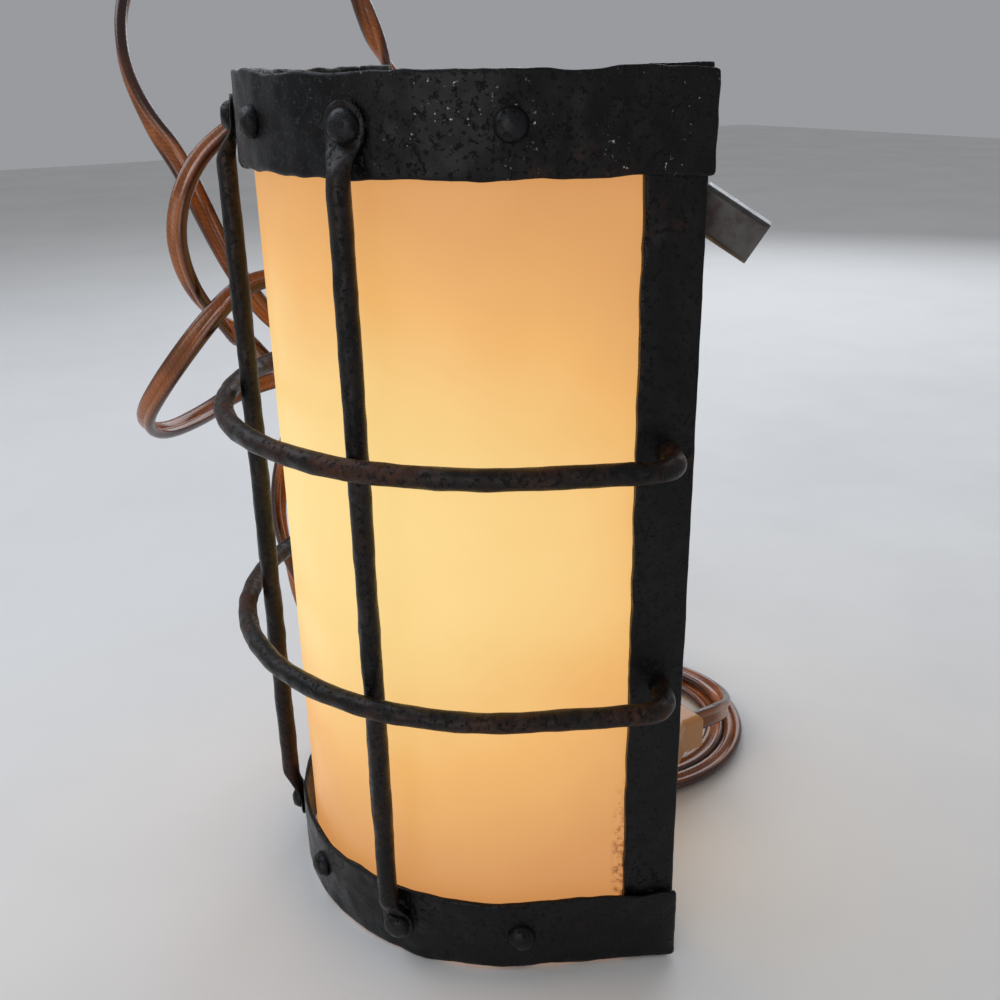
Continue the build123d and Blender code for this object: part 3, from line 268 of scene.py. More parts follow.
# ==================================================================== plan of the cage
@dataclass(frozen=True)
class Plan:
    """Half-round plan of the cage: two leaning flanks and a round nose.

    Attributes:
        half_width: Outer face of a band at the wall.
        depth: Wall to the outer face of a band at the nose.
        back: Y of the wall plane.
        lean: Angle that the flanks lean inward.
    """

    half_width: float
    depth: float
    back: float
    lean: float = math.radians(26.5)

    @classmethod
    def from_frame(cls) -> "Plan":
        """Read the plan from the top band of the frame."""
        low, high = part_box("top_band")
        return cls(half_width=high.x, depth=high.y - low.y, back=high.y)

    def nose_radius(self, offset: float = 0.0) -> float:
        """Radius of the nose.

        Args:
            offset: Distance outward from the bands' outer face.

        Returns:
            The radius.
        """
        width = self.half_width * math.cos(self.lean) - self.depth * math.sin(self.lean)
        return width / (1 - math.sin(self.lean)) + offset

    @property
    def nose_centre(self) -> float:
        """Y of the centre of the nose."""
        return self.back - self.depth + self.nose_radius()

    def flank(self, reach: float, offset: float, z: float = 0.0) -> Vector:
        """Point on the right flank.

        Args:
            reach: Distance forward from the wall along the flank.
            offset: Distance outward from the bands' outer face.
            z: Height.

        Returns:
            The point.
        """
        x = self.half_width - reach * math.sin(self.lean) + offset * math.cos(self.lean)
        y = self.back - reach * math.cos(self.lean) - offset * math.sin(self.lean)
        return Vector((x, y, z))

    @property
    def forward(self) -> Vector:
        """Direction along the right flank, away from the wall."""
        return Vector((-math.sin(self.lean), -math.cos(self.lean), 0))

    @property
    def homeward(self) -> Vector:
        """Direction along the left flank, back to the wall."""
        return Vector((self.forward.x, -self.forward.y, 0))

    @property
    def outward(self) -> Vector:
        """Direction out of the right flank."""
        return Vector((math.cos(self.lean), -math.sin(self.lean), 0))

    @property
    def flank_length(self) -> float:
        """Length of a flank, from the wall to where the nose starts."""
        tangent_y = self.nose_centre - self.nose_radius() * math.sin(self.lean)
        return (self.back - tangent_y) / math.cos(self.lean)

    @property
    def nose_turn(self) -> float:
        """Angle that the nose turns through."""
        return math.pi - 2 * self.lean

    def station(self, angle: float, z: float, offset: float = 0.0) -> Matrix:
        """Frame on the nose that looks outward.

        Args:
            angle: Angle from the front, in radians, positive to the right.
            z: Height.
            offset: Distance outward from the bands' outer face.

        Returns:
            Matrix whose Z is outward and whose Y is up.
        """
        radius = self.nose_radius(offset)
        out = Vector((math.sin(angle), -math.cos(angle), 0))
        side = Vector((math.cos(angle), math.sin(angle), 0))
        turn = Matrix((side, Vector((0, 0, 1)), out)).transposed().to_4x4()
        return Matrix.Translation(Vector((0, self.nose_centre, z)) + out * radius) @ turn


class BarWork:
    """A bar drawn by extruding one end of it along the plan."""

    def __init__(
        self,
        name: str,
        plan: Plan,
        start: Vector,
        size: tuple[float, float],
        cuts: tuple[int, int],
    ) -> None:
        """Lay a flat section square to the right flank and open it for drawing.

        Args:
            name: Name of the piece.
            plan: Plan that the bar follows.
            start: Middle of the first section.
            size: Width outward and height of the section.
            cuts: Cells across the width and the height.
        """
        self.plan = plan
        put_down()
        bpy.ops.mesh.primitive_grid_add(
            x_subdivisions=cuts[0],
            y_subdivisions=cuts[1],
            size=1,
            location=start,
            rotation=(math.pi / 2, 0, -plan.lean),
        )
        self.piece = named(name)
        self.piece.scale = (size[0], size[1], 1)
        settle(self.piece)
        self._open()

    @classmethod
    def round_bar(
        cls, name: str, plan: Plan, start: Vector, radius: float, sides: int
    ) -> "BarWork":
        """Start from a round section that looks out of the right flank.

        Args:
            name: Name of the piece.
            plan: Plan that the bar follows.
            start: Middle of the first section.
            radius: Radius of the bar.
            sides: Sides of the section.

        Returns:
            The bar, open for drawing.
        """
        work = cls.__new__(cls)
        work.plan = plan
        put_down()
        bpy.ops.mesh.primitive_circle_add(
            vertices=sides,
            radius=radius,
            fill_type="NGON",
            location=start,
            rotation=(0, math.pi / 2, -plan.lean),
        )
        work.piece = named(name)
        settle(work.piece)
        work._open()
        return work

    def _open(self) -> None:
        """Enter edit mode with the whole section selected."""
        bpy.ops.object.mode_set(mode="EDIT")
        bpy.context.tool_settings.mesh_select_mode = (False, False, True)
        bpy.ops.mesh.select_all(action="SELECT")

    def run(self, way: Vector, length: float, steps: int) -> None:
        """Draw the bar straight on.

        Args:
            way: Unit direction.
            length: Distance to draw.
            steps: Number of extrusions.
        """
        for _ in range(steps):
            bpy.ops.mesh.extrude_region_move(
                TRANSFORM_OT_translate={"value": tuple(way * (length / steps))}
            )

    def turn(self, centre: Vector, angle: float, steps: int) -> None:
        """Bend the bar round an upright axis.

        Args:
            centre: Point on the axis.
            angle: Signed turn, in radians.
            steps: Number of segments.
        """
        bpy.ops.mesh.spin(steps=steps, angle=angle, center=tuple(centre), axis=(0, 0, 1))

    def finish(self) -> bpy.types.Object:
        """Close the work and return the piece.

        Returns:
            The closed piece.
        """
        bpy.ops.object.mode_set(mode="OBJECT")
        close_up(self.piece)
        return self.piece


# ==================================================================== materials
class Graph:
    """Nodes of one material or node group."""

    MIX_SOCKETS = {"FLOAT": (0, 2, 3, 0), "RGBA": (0, 6, 7, 2)}

    def __init__(self, tree: bpy.types.NodeTree) -> None:
        """Take the tree that the nodes go into."""
        self.tree = tree

    def add(
        self, kind: str, inputs: dict | None = None, **settings: object
    ) -> bpy.types.Node:
        """Add a node.

        Args:
            kind: Node type without its ShaderNode prefix.
            inputs: Socket names or indices to values or to sockets to link.
            settings: Attributes of the node.

        Returns:
            The new node.
        """
        node = self.tree.nodes.new(f"ShaderNode{kind}")
        for key, value in settings.items():
            setattr(node, key, value)
        for key, value in (inputs or {}).items():
            self.feed(node.inputs[key], value)
        return node

    def feed(self, socket: bpy.types.NodeSocket, value: object) -> None:
        """Link a socket or set its value.

        Args:
            socket: Input to feed.
            value: Socket to link, or plain value.
        """
        if isinstance(value, bpy.types.NodeSocket):
            self.tree.links.new(value, socket)
        else:
            socket.default_value = value

    def mix(
        self, factor: object, first: object, second: object, kind: str = "RGBA", blend: str = "MIX"
    ) -> bpy.types.NodeSocket:
        """Mix two colours or values.

        Args:
            factor: Share of the second.
            first: First colour or value.
            second: Second colour or value.
            kind: RGBA or FLOAT.
            blend: Blend type of a colour mix.

        Returns:
            The mixed socket.
        """
        node = self.tree.nodes.new("ShaderNodeMix")
        node.data_type = kind
        if kind == "RGBA":
            node.blend_type = blend
        at_factor, at_first, at_second, at_result = self.MIX_SOCKETS[kind]
        self.feed(node.inputs[at_factor], factor)
        self.feed(node.inputs[at_first], first)
        self.feed(node.inputs[at_second], second)
        return node.outputs[at_result]

    def math(self, operation: str, *values: object) -> bpy.types.NodeSocket:
        """Do a sum on values.

        Args:
            operation: Kind of sum.
            values: Values or sockets, in order.

        Returns:
            The result's socket.
        """
        node = self.tree.nodes.new("ShaderNodeMath")
        node.operation = operation
        for socket, value in zip(node.inputs, values):
            self.feed(socket, value)
        return node.outputs[0]

    def span(
        self, value: object, low: float, high: float, out_low: float = 0.0, out_high: float = 1.0
    ) -> bpy.types.NodeSocket:
        """Map a value smoothly from one span to another.

        Args:
            value: Value or socket.
            low: Start of the span.
            high: End of the span.
            out_low: Result at the start.
            out_high: Result at the end.

        Returns:
            The mapped socket.
        """
        node = self.add("MapRange", {0: value, 1: low, 2: high, 3: out_low, 4: out_high})
        node.interpolation_type = "SMOOTHSTEP"
        return node.outputs[0]

    def noise(
        self, at: object, scale: object, detail: float = 3.0, rough: float = 0.55
    ) -> bpy.types.NodeSocket:
        """Add noise on coordinates.

        Args:
            at: Coordinates.
            scale: Density, per metre.
            detail: Octaves.
            rough: Weight of the finer octaves.

        Returns:
            The noise's socket.
        """
        settings = {"Vector": at, "Scale": scale, "Detail": detail, "Roughness": rough}
        return self.add("TexNoise", settings).outputs[0]

    def place(self) -> object:
        """Coordinates of the object's own frame."""
        return self.add("TexCoord").outputs["Object"]


class SharedGroup:
    """A node group that several finishes place with their own values."""

    NAME = "shared"
    INPUTS: dict[str, tuple[str, object]] = {}
    OUTPUTS: dict[str, str] = {}

    @classmethod
    def tree(cls) -> bpy.types.NodeTree:
        """Return the group, built on first use.

        Returns:
            The node group.
        """
        if cls.NAME in bpy.data.node_groups:
            return bpy.data.node_groups[cls.NAME]
        tree = bpy.data.node_groups.new(cls.NAME, "ShaderNodeTree")
        for name, (kind, default) in cls.INPUTS.items():
            socket_type = f"NodeSocket{kind}"
            socket = tree.interface.new_socket(name, in_out="INPUT", socket_type=socket_type)
            socket.default_value = default
        for name, kind in cls.OUTPUTS.items():
            tree.interface.new_socket(name, in_out="OUTPUT", socket_type=f"NodeSocket{kind}")
        graph = Graph(tree)
        start = tree.nodes.new("NodeGroupInput")
        end = tree.nodes.new("NodeGroupOutput")
        for name, socket in cls.build(graph, start.outputs).items():
            tree.links.new(socket, end.inputs[name])
        return tree

    @classmethod
    def build(cls, graph: Graph, given: object) -> dict[str, object]:
        """Make the group's nodes and return its outputs by name.

        Args:
            graph: Nodes of the group.
            given: The group's inputs by name.

        Returns:
            Sockets by the names of the group's outputs.
        """
        raise NotImplementedError

    @classmethod
    def place_in(cls, graph: Graph, values: dict[str, object]) -> bpy.types.Node:
        """Place the group in a material with its own values.

        Args:
            graph: Nodes of the material.
            values: Values or sockets by the group's input names.

        Returns:
            The placed group.
        """
        node = graph.tree.nodes.new("ShaderNodeGroup")
        node.node_tree = cls.tree()
        for name, value in values.items():
            graph.feed(node.inputs[name], value)
        return node


class ForgedSurface(SharedGroup):
    """Hammered and scaled iron: tone, rust, sheen and relief."""

    NAME = "forged_surface"
    INPUTS = {
        "Dark": ("Color", (0.012, 0.011, 0.012, 1)),
        "Light": ("Color", (0.05, 0.045, 0.045, 1)),
        "Rust": ("Color", (0.16, 0.055, 0.02, 1)),
        "Rust Amount": ("Float", 0.3),
        "Dent Size": ("Float", 120.0),
        "Relief": ("Float", 0.4),
        "Smoothest": ("Float", 0.32),
        "Roughest": ("Float", 0.62),
    }
    OUTPUTS = {"Colour": "Color", "Roughness": "Float", "Normal": "Vector"}

    @classmethod
    def build(cls, graph: Graph, given: object) -> dict[str, object]:
        """Make the group's nodes and return its outputs by name.

        Args:
            graph: Nodes of the group.
            given: The group's inputs by name.

        Returns:
            Sockets by the names of the group's outputs.
        """
        at = graph.place()
        broad = graph.noise(at, 55.0, 4.0, 0.6)
        fine = graph.noise(at, 620.0, 6.0, 0.7)
        grain = graph.noise(at, 2400.0, 3.0, 0.6)
        settings = {"Vector": at, "Scale": given["Dent Size"], "Smoothness": 0.6}
        dents = graph.add("TexVoronoi", settings, feature="SMOOTH_F1").outputs["Distance"]
        pits = graph.span(fine, 0.34, 0.46)
        tone = graph.math("MULTIPLY", graph.span(broad, 0.36, 0.66), graph.span(fine, 0.3, 0.7))
        colour = graph.mix(tone, given["Dark"], given["Light"])
        patches = graph.math("ADD", graph.noise(at, 38.0, 5.0, 0.65), given["Rust Amount"])
        rust = graph.math("MULTIPLY", graph.span(patches, 0.72, 1.05), graph.span(fine, 0.32, 0.62))
        colour = graph.mix(rust, colour, given["Rust"])
        shadowed = graph.mix(1.0, colour, (0.4, 0.4, 0.4, 1), blend="MULTIPLY")
        colour = graph.mix(pits, shadowed, colour)
        dull = graph.math("MULTIPLY", rust, 0.5)
        shine = graph.math("ADD", graph.math("MULTIPLY", fine, 0.6), dull)
        spread = graph.add(
            "MapRange",
            {0: shine, 1: 0.15, 2: 0.65, 3: given["Smoothest"], 4: given["Roughest"]},
        ).outputs[0]
        low = graph.math("MULTIPLY", dents, 0.8)
        mid = graph.math("MULTIPLY", pits, 0.22)
        high = graph.math("MULTIPLY", grain, 0.1)
        height = graph.math("ADD", graph.math("ADD", low, mid), high)
        relief = {"Strength": given["Relief"], "Distance": 0.0012, "Height": height}
        bump = graph.add("Bump", relief)
        return {"Colour": colour, "Roughness": spread, "Normal": bump.outputs["Normal"]}


class FineMottle(SharedGroup):
    """Small even variation of a moulded, drawn or fired surface."""

    NAME = "fine_mottle"
    INPUTS = {
        "Base": ("Color", (0.5, 0.5, 0.5, 1)),
        "Shade": ("Color", (0.4, 0.4, 0.4, 1)),
        "Scale": ("Float", 300.0),
        "Smoothest": ("Float", 0.3),
        "Roughest": ("Float", 0.45),
        "Relief": ("Float", 0.1),
    }
    OUTPUTS = {"Colour": "Color", "Roughness": "Float", "Normal": "Vector"}

    @classmethod
    def build(cls, graph: Graph, given: object) -> dict[str, object]:
        """Make the group's nodes and return its outputs by name.

        Args:
            graph: Nodes of the group.
            given: The group's inputs by name.

        Returns:
            Sockets by the names of the group's outputs.
        """
        at = graph.place()
        soft = graph.noise(at, given["Scale"], 4.0, 0.6)
        dust = graph.noise(at, graph.math("MULTIPLY", given["Scale"], 7.0), 2.0, 0.5)
        colour = graph.mix(graph.span(soft, 0.35, 0.7), given["Base"], given["Shade"])
        rough = graph.add(
            "MapRange", {0: soft, 1: 0.35, 2: 0.68, 3: given["Smoothest"], 4: given["Roughest"]}
        ).outputs[0]
        bump = graph.add("Bump", {"Strength": given["Relief"], "Distance": 0.0002, "Height": dust})
        return {"Colour": colour, "Roughness": rough, "Normal": bump.outputs["Normal"]}


@dataclass(frozen=True)
class Finish:
    """A finish that pieces are dressed in.

    Attributes:
        name: Name of the material.
    """

    name: str

    def material(self) -> bpy.types.Material:
        """Return the material, built on first use.

        Returns:
            The material.
        """
        found = bpy.data.materials.get(self.name)
        if found:
            return found
        made = bpy.data.materials.new(self.name)
        made.use_nodes = True
        tree = made.node_tree
        tree.nodes.clear()
        graph = Graph(tree)
        shader = tree.nodes.new("ShaderNodeBsdfPrincipled")
        output = tree.nodes.new("ShaderNodeOutputMaterial")
        tree.links.new(shader.outputs[0], output.inputs[0])
        self.lay(graph, shader)
        return made

    def lay(self, graph: Graph, shader: bpy.types.Node) -> None:
        """Feed the shader.

        Args:
            graph: Nodes of the material.
            shader: Shader to feed.
        """
        raise NotImplementedError

    @staticmethod
    def wire(graph: Graph, shader: bpy.types.Node, colour: object, surface: bpy.types.Node) -> None:
        """Feed the shader a colour and the roughness and relief of a shared surface.

        Args:
            graph: Nodes of the material.
            shader: Shader to feed.
            colour: Socket of the colour.
            surface: Placed group that gives roughness and relief.
        """
        graph.feed(shader.inputs["Base Color"], colour)
        for name in ("Roughness", "Normal"):
            graph.feed(shader.inputs[name], surface.outputs[name])

    def dress(self, piece: bpy.types.Object) -> None:
        """Give a piece this finish in its only slot.

        Args:
            piece: The object to dress.
        """
        if piece.data.materials:
            for index in range(len(piece.data.materials)):
                piece.data.materials[index] = self.material()
        else:
            piece.data.materials.append(self.material())


def opaque(red: float, green: float, blue: float) -> tuple[float, float, float, float]:
    """Colour with full alpha."""
    return (red, green, blue, 1.0)


@dataclass(frozen=True)
class ForgedIron(Finish):
    """Blackened hand-forged iron.

    Attributes:
        dark: Deepest tone.
        light: Tone where the scale is worn.
        rust: Colour of rust.
        rust_amount: Share of rust, from 0.
        dents_per_metre: Density of the small hammer marks.
        relief: Strength of the relief.
        smoothest: Lowest roughness.
        roughest: Highest roughness.
        speckled: True where pale specks lie on the face.
    """

    dark: tuple = opaque(0.0022, 0.0022, 0.0026)
    light: tuple = opaque(0.0085, 0.0075, 0.0078)
    rust: tuple = opaque(0.085, 0.028, 0.010)
    rust_amount: float = 0.12
    dents_per_metre: float = 130.0
    relief: float = 0.8
    smoothest: float = 0.2
    roughest: float = 0.52
    speckled: bool = False

    def lay(self, graph: Graph, shader: bpy.types.Node) -> None:
        """Feed the shader from the shared forged surface.

        Args:
            graph: Nodes of the material.
            shader: Shader to feed.
        """
        values = {
            "Dark": self.dark,
            "Light": self.light,
            "Rust": self.rust,
            "Rust Amount": self.rust_amount,
            "Dent Size": self.dents_per_metre,
            "Relief": self.relief,
            "Smoothest": self.smoothest,
            "Roughest": self.roughest,
        }
        surface = ForgedSurface.place_in(graph, values)
        colour = surface.outputs["Colour"]
        if self.speckled:
            at = graph.place()
            near = graph.span(graph.noise(at, 900.0, 2.0, 0.6), 0.665, 0.70)
            some = graph.span(graph.noise(at, 90.0, 4.0, 0.7), 0.5, 0.62)
            right = graph.span(graph.add("SeparateXYZ", {0: at}).outputs["X"], 0.01, 0.045)
            specks = graph.math("MULTIPLY", graph.math("MULTIPLY", near, some), right)
            colour = graph.mix(specks, colour, opaque(0.42, 0.41, 0.39))
        self.wire(graph, shader, colour, surface)
        shader.inputs["Metallic"].default_value = 0.35
        shader.inputs["Specular IOR Level"].default_value = 0.36


@dataclass(frozen=True)
class Mottled(Finish):
    """Moulded, plated or fired surface.

    Attributes:
        base: Main colour.
        shade: Second colour of the mottle.
        per_metre: Density of the mottle.
        smoothest: Lowest roughness.
        roughest: Highest roughness.
        relief: Strength of the fine relief.
        metallic: Metallic value.
        transmission: Share of light that passes.
        coat: Weight of a clear coat.
        glow: Strength of its own light.
    """

    base: tuple = opaque(0.5, 0.5, 0.5)
    shade: tuple = opaque(0.4, 0.4, 0.4)
    per_metre: float = 300.0
    smoothest: float = 0.3
    roughest: float = 0.45
    relief: float = 0.15
    metallic: float = 0.0
    transmission: float = 0.0
    coat: float = 0.0
    glow: float = 0.0

    def lay(self, graph: Graph, shader: bpy.types.Node) -> None:
        """Feed the shader from the shared mottle.

        Args:
            graph: Nodes of the material.
            shader: Shader to feed.
        """
        values = {
            "Base": self.base,
            "Shade": self.shade,
            "Scale": self.per_metre,
            "Smoothest": self.smoothest,
            "Roughest": self.roughest,
            "Relief": self.relief,
        }
        surface = FineMottle.place_in(graph, values)
        self.wire(graph, shader, surface.outputs["Colour"], surface)
        shader.inputs["Metallic"].default_value = self.metallic
        shader.inputs["Transmission Weight"].default_value = self.transmission
        shader.inputs["Coat Weight"].default_value = self.coat
        if self.glow:
            graph.feed(shader.inputs["Emission Color"], surface.outputs["Colour"])
            shader.inputs["Emission Strength"].default_value = self.glow


@dataclass(frozen=True)
class OpalSheet(Finish):
    """Opal sheet lit by the bulb behind it: brightest near the bulb, amber far from it.

    Attributes:
        bulb: Middle of the glowing bulb.
        foot: Height where the rust stains are.
    """

    bulb: tuple = (0.0, 0.0, 0.13)
    foot: float = 0.07

    def lay(self, graph: Graph, shader: bpy.types.Node) -> None:
        """Feed the shader with the glow and the stains.

        Args:
            graph: Nodes of the material.
            shader: Shader to feed.
        """
        at = graph.place()
        away = graph.add("VectorMath", {0: at, 1: self.bulb}, operation="DISTANCE").outputs["Value"]
        cloud = graph.noise(at, 26.0, 3.0, 0.5)
        wander = graph.math("MULTIPLY", graph.math("SUBTRACT", cloud, 0.5), 0.02)
        away = graph.math("ADD", away, wander)
        ramp = graph.add("ValToRGB", {0: graph.span(away, 0.035, 0.135)})
        stops = ramp.color_ramp.elements
        stops[0].position, stops[0].color = 0.0, opaque(1.0, 0.73, 0.285)
        stops[1].position, stops[1].color = 1.0, opaque(0.63, 0.275, 0.088)
        middle = stops.new(0.45)
        middle.color = opaque(0.88, 0.465, 0.140)
        split = graph.add("SeparateXYZ", {0: at})
        low = graph.span(split.outputs["Z"], self.foot, self.foot * 0.5)
        blots = graph.span(graph.noise(at, 420.0, 6.0, 0.75), 0.46, 0.6)
        side = graph.span(split.outputs["X"], 0.0700, 0.0712)
        stains = graph.math("MULTIPLY", graph.math("MULTIPLY", blots, low), side)
        veil = graph.math("MULTIPLY", stains, 0.75)
        glow = graph.mix(veil, ramp.outputs[0], opaque(0.2, 0.05, 0.012))
        graph.feed(shader.inputs["Emission Color"], glow)
        shader.inputs["Emission Strength"].default_value = 0.92
        body = graph.mix(stains, opaque(0.10, 0.065, 0.034), opaque(0.05, 0.02, 0.01))
        graph.feed(shader.inputs["Base Color"], body)
        graph.feed(shader.inputs["Roughness"], graph.span(cloud, 0.3, 0.7, 0.34, 0.5))
        waves = graph.noise(at, 70.0, 2.0, 0.5)
        bump = graph.add("Bump", {"Strength": 0.12, "Distance": 0.001, "Height": waves})
        graph.feed(shader.inputs["Normal"], bump.outputs["Normal"])


@dataclass(frozen=True)
class TwinCordVinyl(Finish):
    """Clear amber vinyl over two strands of copper, patterned along the cord's own length.

    Attributes:
        lay_per_metre: Turns of the copper strands per metre.
        rim_shaded_vinyl: Vinyl at the rim, dark as painted shade, and faintly over the groove.
        warm: Vinyl where it is thinner.
        bright: Copper across the middle of each face, light as a painted highlight.
    """

    lay_per_metre: float = 520.0
    rim_shaded_vinyl: tuple = opaque(0.030, 0.006, 0.002)
    warm: tuple = opaque(0.085, 0.020, 0.005)
    bright: tuple = opaque(0.50, 0.150, 0.030)

    def lay(self, graph: Graph, shader: bpy.types.Node) -> None:
        """Feed the shader with the strands under the vinyl, and with a painted highlight and
        painted shade across the cord.

        Args:
            graph: Nodes of the material.
            shader: Shader to feed.
        """
        uv = graph.add("UVMap", uv_map="along").outputs[0]
        split = graph.add("SeparateXYZ", {0: uv})
        round_section = graph.math("MULTIPLY", split.outputs["Y"], 2 * math.pi)
        # Painted highlight and shade: across the section, lightest in the middle of each face and
        # darkest at the rims; partly the copper seen through the clear vinyl.
        highlight_across_face = graph.math("ABSOLUTE", graph.math("SINE", round_section))
        along = graph.math("MULTIPLY", split.outputs["X"], self.lay_per_metre)
        twist = graph.math("ADD", along, graph.math("MULTIPLY", split.outputs["Y"], 9.0))
        strands = graph.math("SINE", graph.math("MULTIPLY", twist, 2 * math.pi))
        strands = graph.math("ADD", graph.math("MULTIPLY", strands, 0.5), 0.5)
        at = graph.place()
        cloudy = graph.span(graph.noise(at, 38.0, 4.0, 0.6), 0.34, 0.68)
        rim_shaded_vinyl = graph.mix(cloudy, self.rim_shaded_vinyl, self.warm)
        bright = graph.mix(graph.math("MULTIPLY", strands, 0.22), self.bright, self.rim_shaded_vinyl)
        evenness = graph.span(cloudy, 0.0, 1.0, 0.45, 0.95)
        # Painted highlight over the middle of each face, fading to painted shade at the rims.
        painted_highlight = graph.math("MULTIPLY", graph.span(highlight_across_face, 0.45, 0.95), evenness)
        graph.feed(shader.inputs["Base Color"], graph.mix(painted_highlight, rim_shaded_vinyl, bright))
        graph.feed(shader.inputs["Roughness"], graph.span(cloudy, 0, 1, 0.17, 0.3))
        bump = graph.add("Bump", {"Strength": 0.06, "Distance": 0.0003, "Height": strands})
        graph.feed(shader.inputs["Normal"], bump.outputs["Normal"])
        shader.inputs["Coat Weight"].default_value = 0.25
        shader.inputs["Coat Roughness"].default_value = 0.12
        shader.inputs["Transmission Weight"].default_value = 0.15


BAND_IRON = ForgedIron("band_iron", speckled=True)
FOOT_IRON = ForgedIron("foot_iron")
STILE_IRON = ForgedIron("stile_iron", rust_amount=0.14, roughest=0.5)
BAR_IRON = ForgedIron(
    "bar_iron", light=opaque(0.026, 0.018, 0.015), rust_amount=0.2, dents_per_metre=170.0,
    relief=0.85,
)
HOOP_IRON = ForgedIron(
    "hoop_iron", light=opaque(0.030, 0.020, 0.016), rust_amount=0.3, dents_per_metre=190.0,
    relief=1.0, roughest=0.62,
)
RIVET_IRON = ForgedIron(
    "rivet_iron", light=opaque(0.022, 0.022, 0.026), rust_amount=0.02, smoothest=0.22
)
FITTING_IRON = ForgedIron("fitting_iron", rust_amount=0.1, relief=0.25)
VINYL = TwinCordVinyl("twin_cord_vinyl")
ZINC = Mottled(
    "zinc_plate", opaque(0.62, 0.61, 0.57), opaque(0.48, 0.48, 0.46), 500.0, 0.25, 0.45, 0.2,
    metallic=1.0,
)
BRASS = Mottled(
    "bright_brass", opaque(0.80, 0.56, 0.24), opaque(0.62, 0.40, 0.16), 400.0, 0.18, 0.34, 0.1, 1.0
)
PHENOLIC = Mottled(
    "black_phenolic", opaque(0.02, 0.018, 0.017), opaque(0.035, 0.028, 0.024), 240.0, 0.2,
    0.36, coat=0.4,
)
CERAMIC = Mottled(
    "glazed_ceramic", opaque(0.82, 0.80, 0.74), opaque(0.74, 0.70, 0.62), 200.0, 0.12, 0.3
)
ALUMINIUM = Mottled(
    "rolled_aluminium", opaque(0.80, 0.80, 0.79), opaque(0.64, 0.64, 0.63), 600.0, 0.22, 0.4,
    0.2, 1.0,
)
FROSTED = Mottled(
    "frosted_bulb", opaque(1.0, 0.80, 0.46), opaque(1.0, 0.74, 0.38), 60.0, 0.35, 0.5, glow=1.5
)
STEM_GLASS = Mottled(
    "stem_glass", opaque(0.92, 0.93, 0.92), opaque(0.85, 0.87, 0.86), 200.0, 0.05, 0.12,
    transmission=0.9,
)
LEAD_BLACK = Mottled(
    "lead_insulation", opaque(0.03, 0.03, 0.032), opaque(0.05, 0.048, 0.046), 350.0, 0.35, 0.5
)
CLEAR_PLASTIC = Mottled(
    "clear_housing", opaque(0.10, 0.098, 0.095), opaque(0.05, 0.03, 0.03), 330.0, 0.28, 0.42,
    transmission=0.5,
)
RED_INSERT = Mottled(
    "port_insert", opaque(0.30, 0.10, 0.08), opaque(0.22, 0.08, 0.07), 300.0, 0.3, 0.5
)
RUBBER = Mottled(
    "black_rubber", opaque(0.022, 0.021, 0.02), opaque(0.034, 0.032, 0.03), 500.0, 0.5, 0.7, 0.4
)
TIE_PLASTIC = Mottled(
    "tie_plastic", opaque(0.03, 0.03, 0.03), opaque(0.045, 0.045, 0.045), 300.0, 0.35, 0.55
)
PLUG_VINYL = Mottled(
    "plug_vinyl", opaque(0.13, 0.045, 0.014), opaque(0.09, 0.03, 0.010), 260.0, 0.22, 0.4, coat=0.4
)
PALE_FLOOR = Mottled(
    "pale_floor", opaque(0.80, 0.79, 0.77), opaque(0.76, 0.75, 0.735), 6.0, 0.6, 0.75
)

FINISHED_NODES: list[tuple[Finish, str]] = [
    (BAND_IRON, "top_band"),
    (FOOT_IRON, "bottom_band"),
    (STILE_IRON, "right_stile left_stile"),
    (BAR_IRON, "right_guard_rod left_guard_rod"),
    (HOOP_IRON, "upper_hoop lower_hoop"),
    (RIVET_IRON, "top_band_rivets bottom_band_rivets rod_rivets"),
    (FITTING_IRON, "diffuser_ledges diffuser_guides upper_cross_strap lower_cross_strap"),
    (ZINC, "lamp_bracket bracket_screws bracket_nuts"),
    (
        BRASS,
        "threaded_nipple nipple_locknut screw_shell centre_contact terminal_screws "
        "bulb_tip connector_strips plug_blades",
    ),
    (PHENOLIC, "holder_cap holder_shell"),
    (CERAMIC, "contact_base"),
    (ALUMINIUM, "bulb_cap"),
    (FROSTED, "bulb_glass"),
    (STEM_GLASS, "bulb_filament"),
    (LEAD_BLACK, "holder_leads"),
    (PLUG_VINYL, "cord_tails plug_body"),
    (CLEAR_PLASTIC, "connector_housings"),
    (RED_INSERT, "connector_inserts"),
    (RUBBER, "cord_bushing"),
    (TIE_PLASTIC, "coil_ties"),
]
NODE_FINISHES = {node: finish for finish, nodes in FINISHED_NODES for node in nodes.split()}


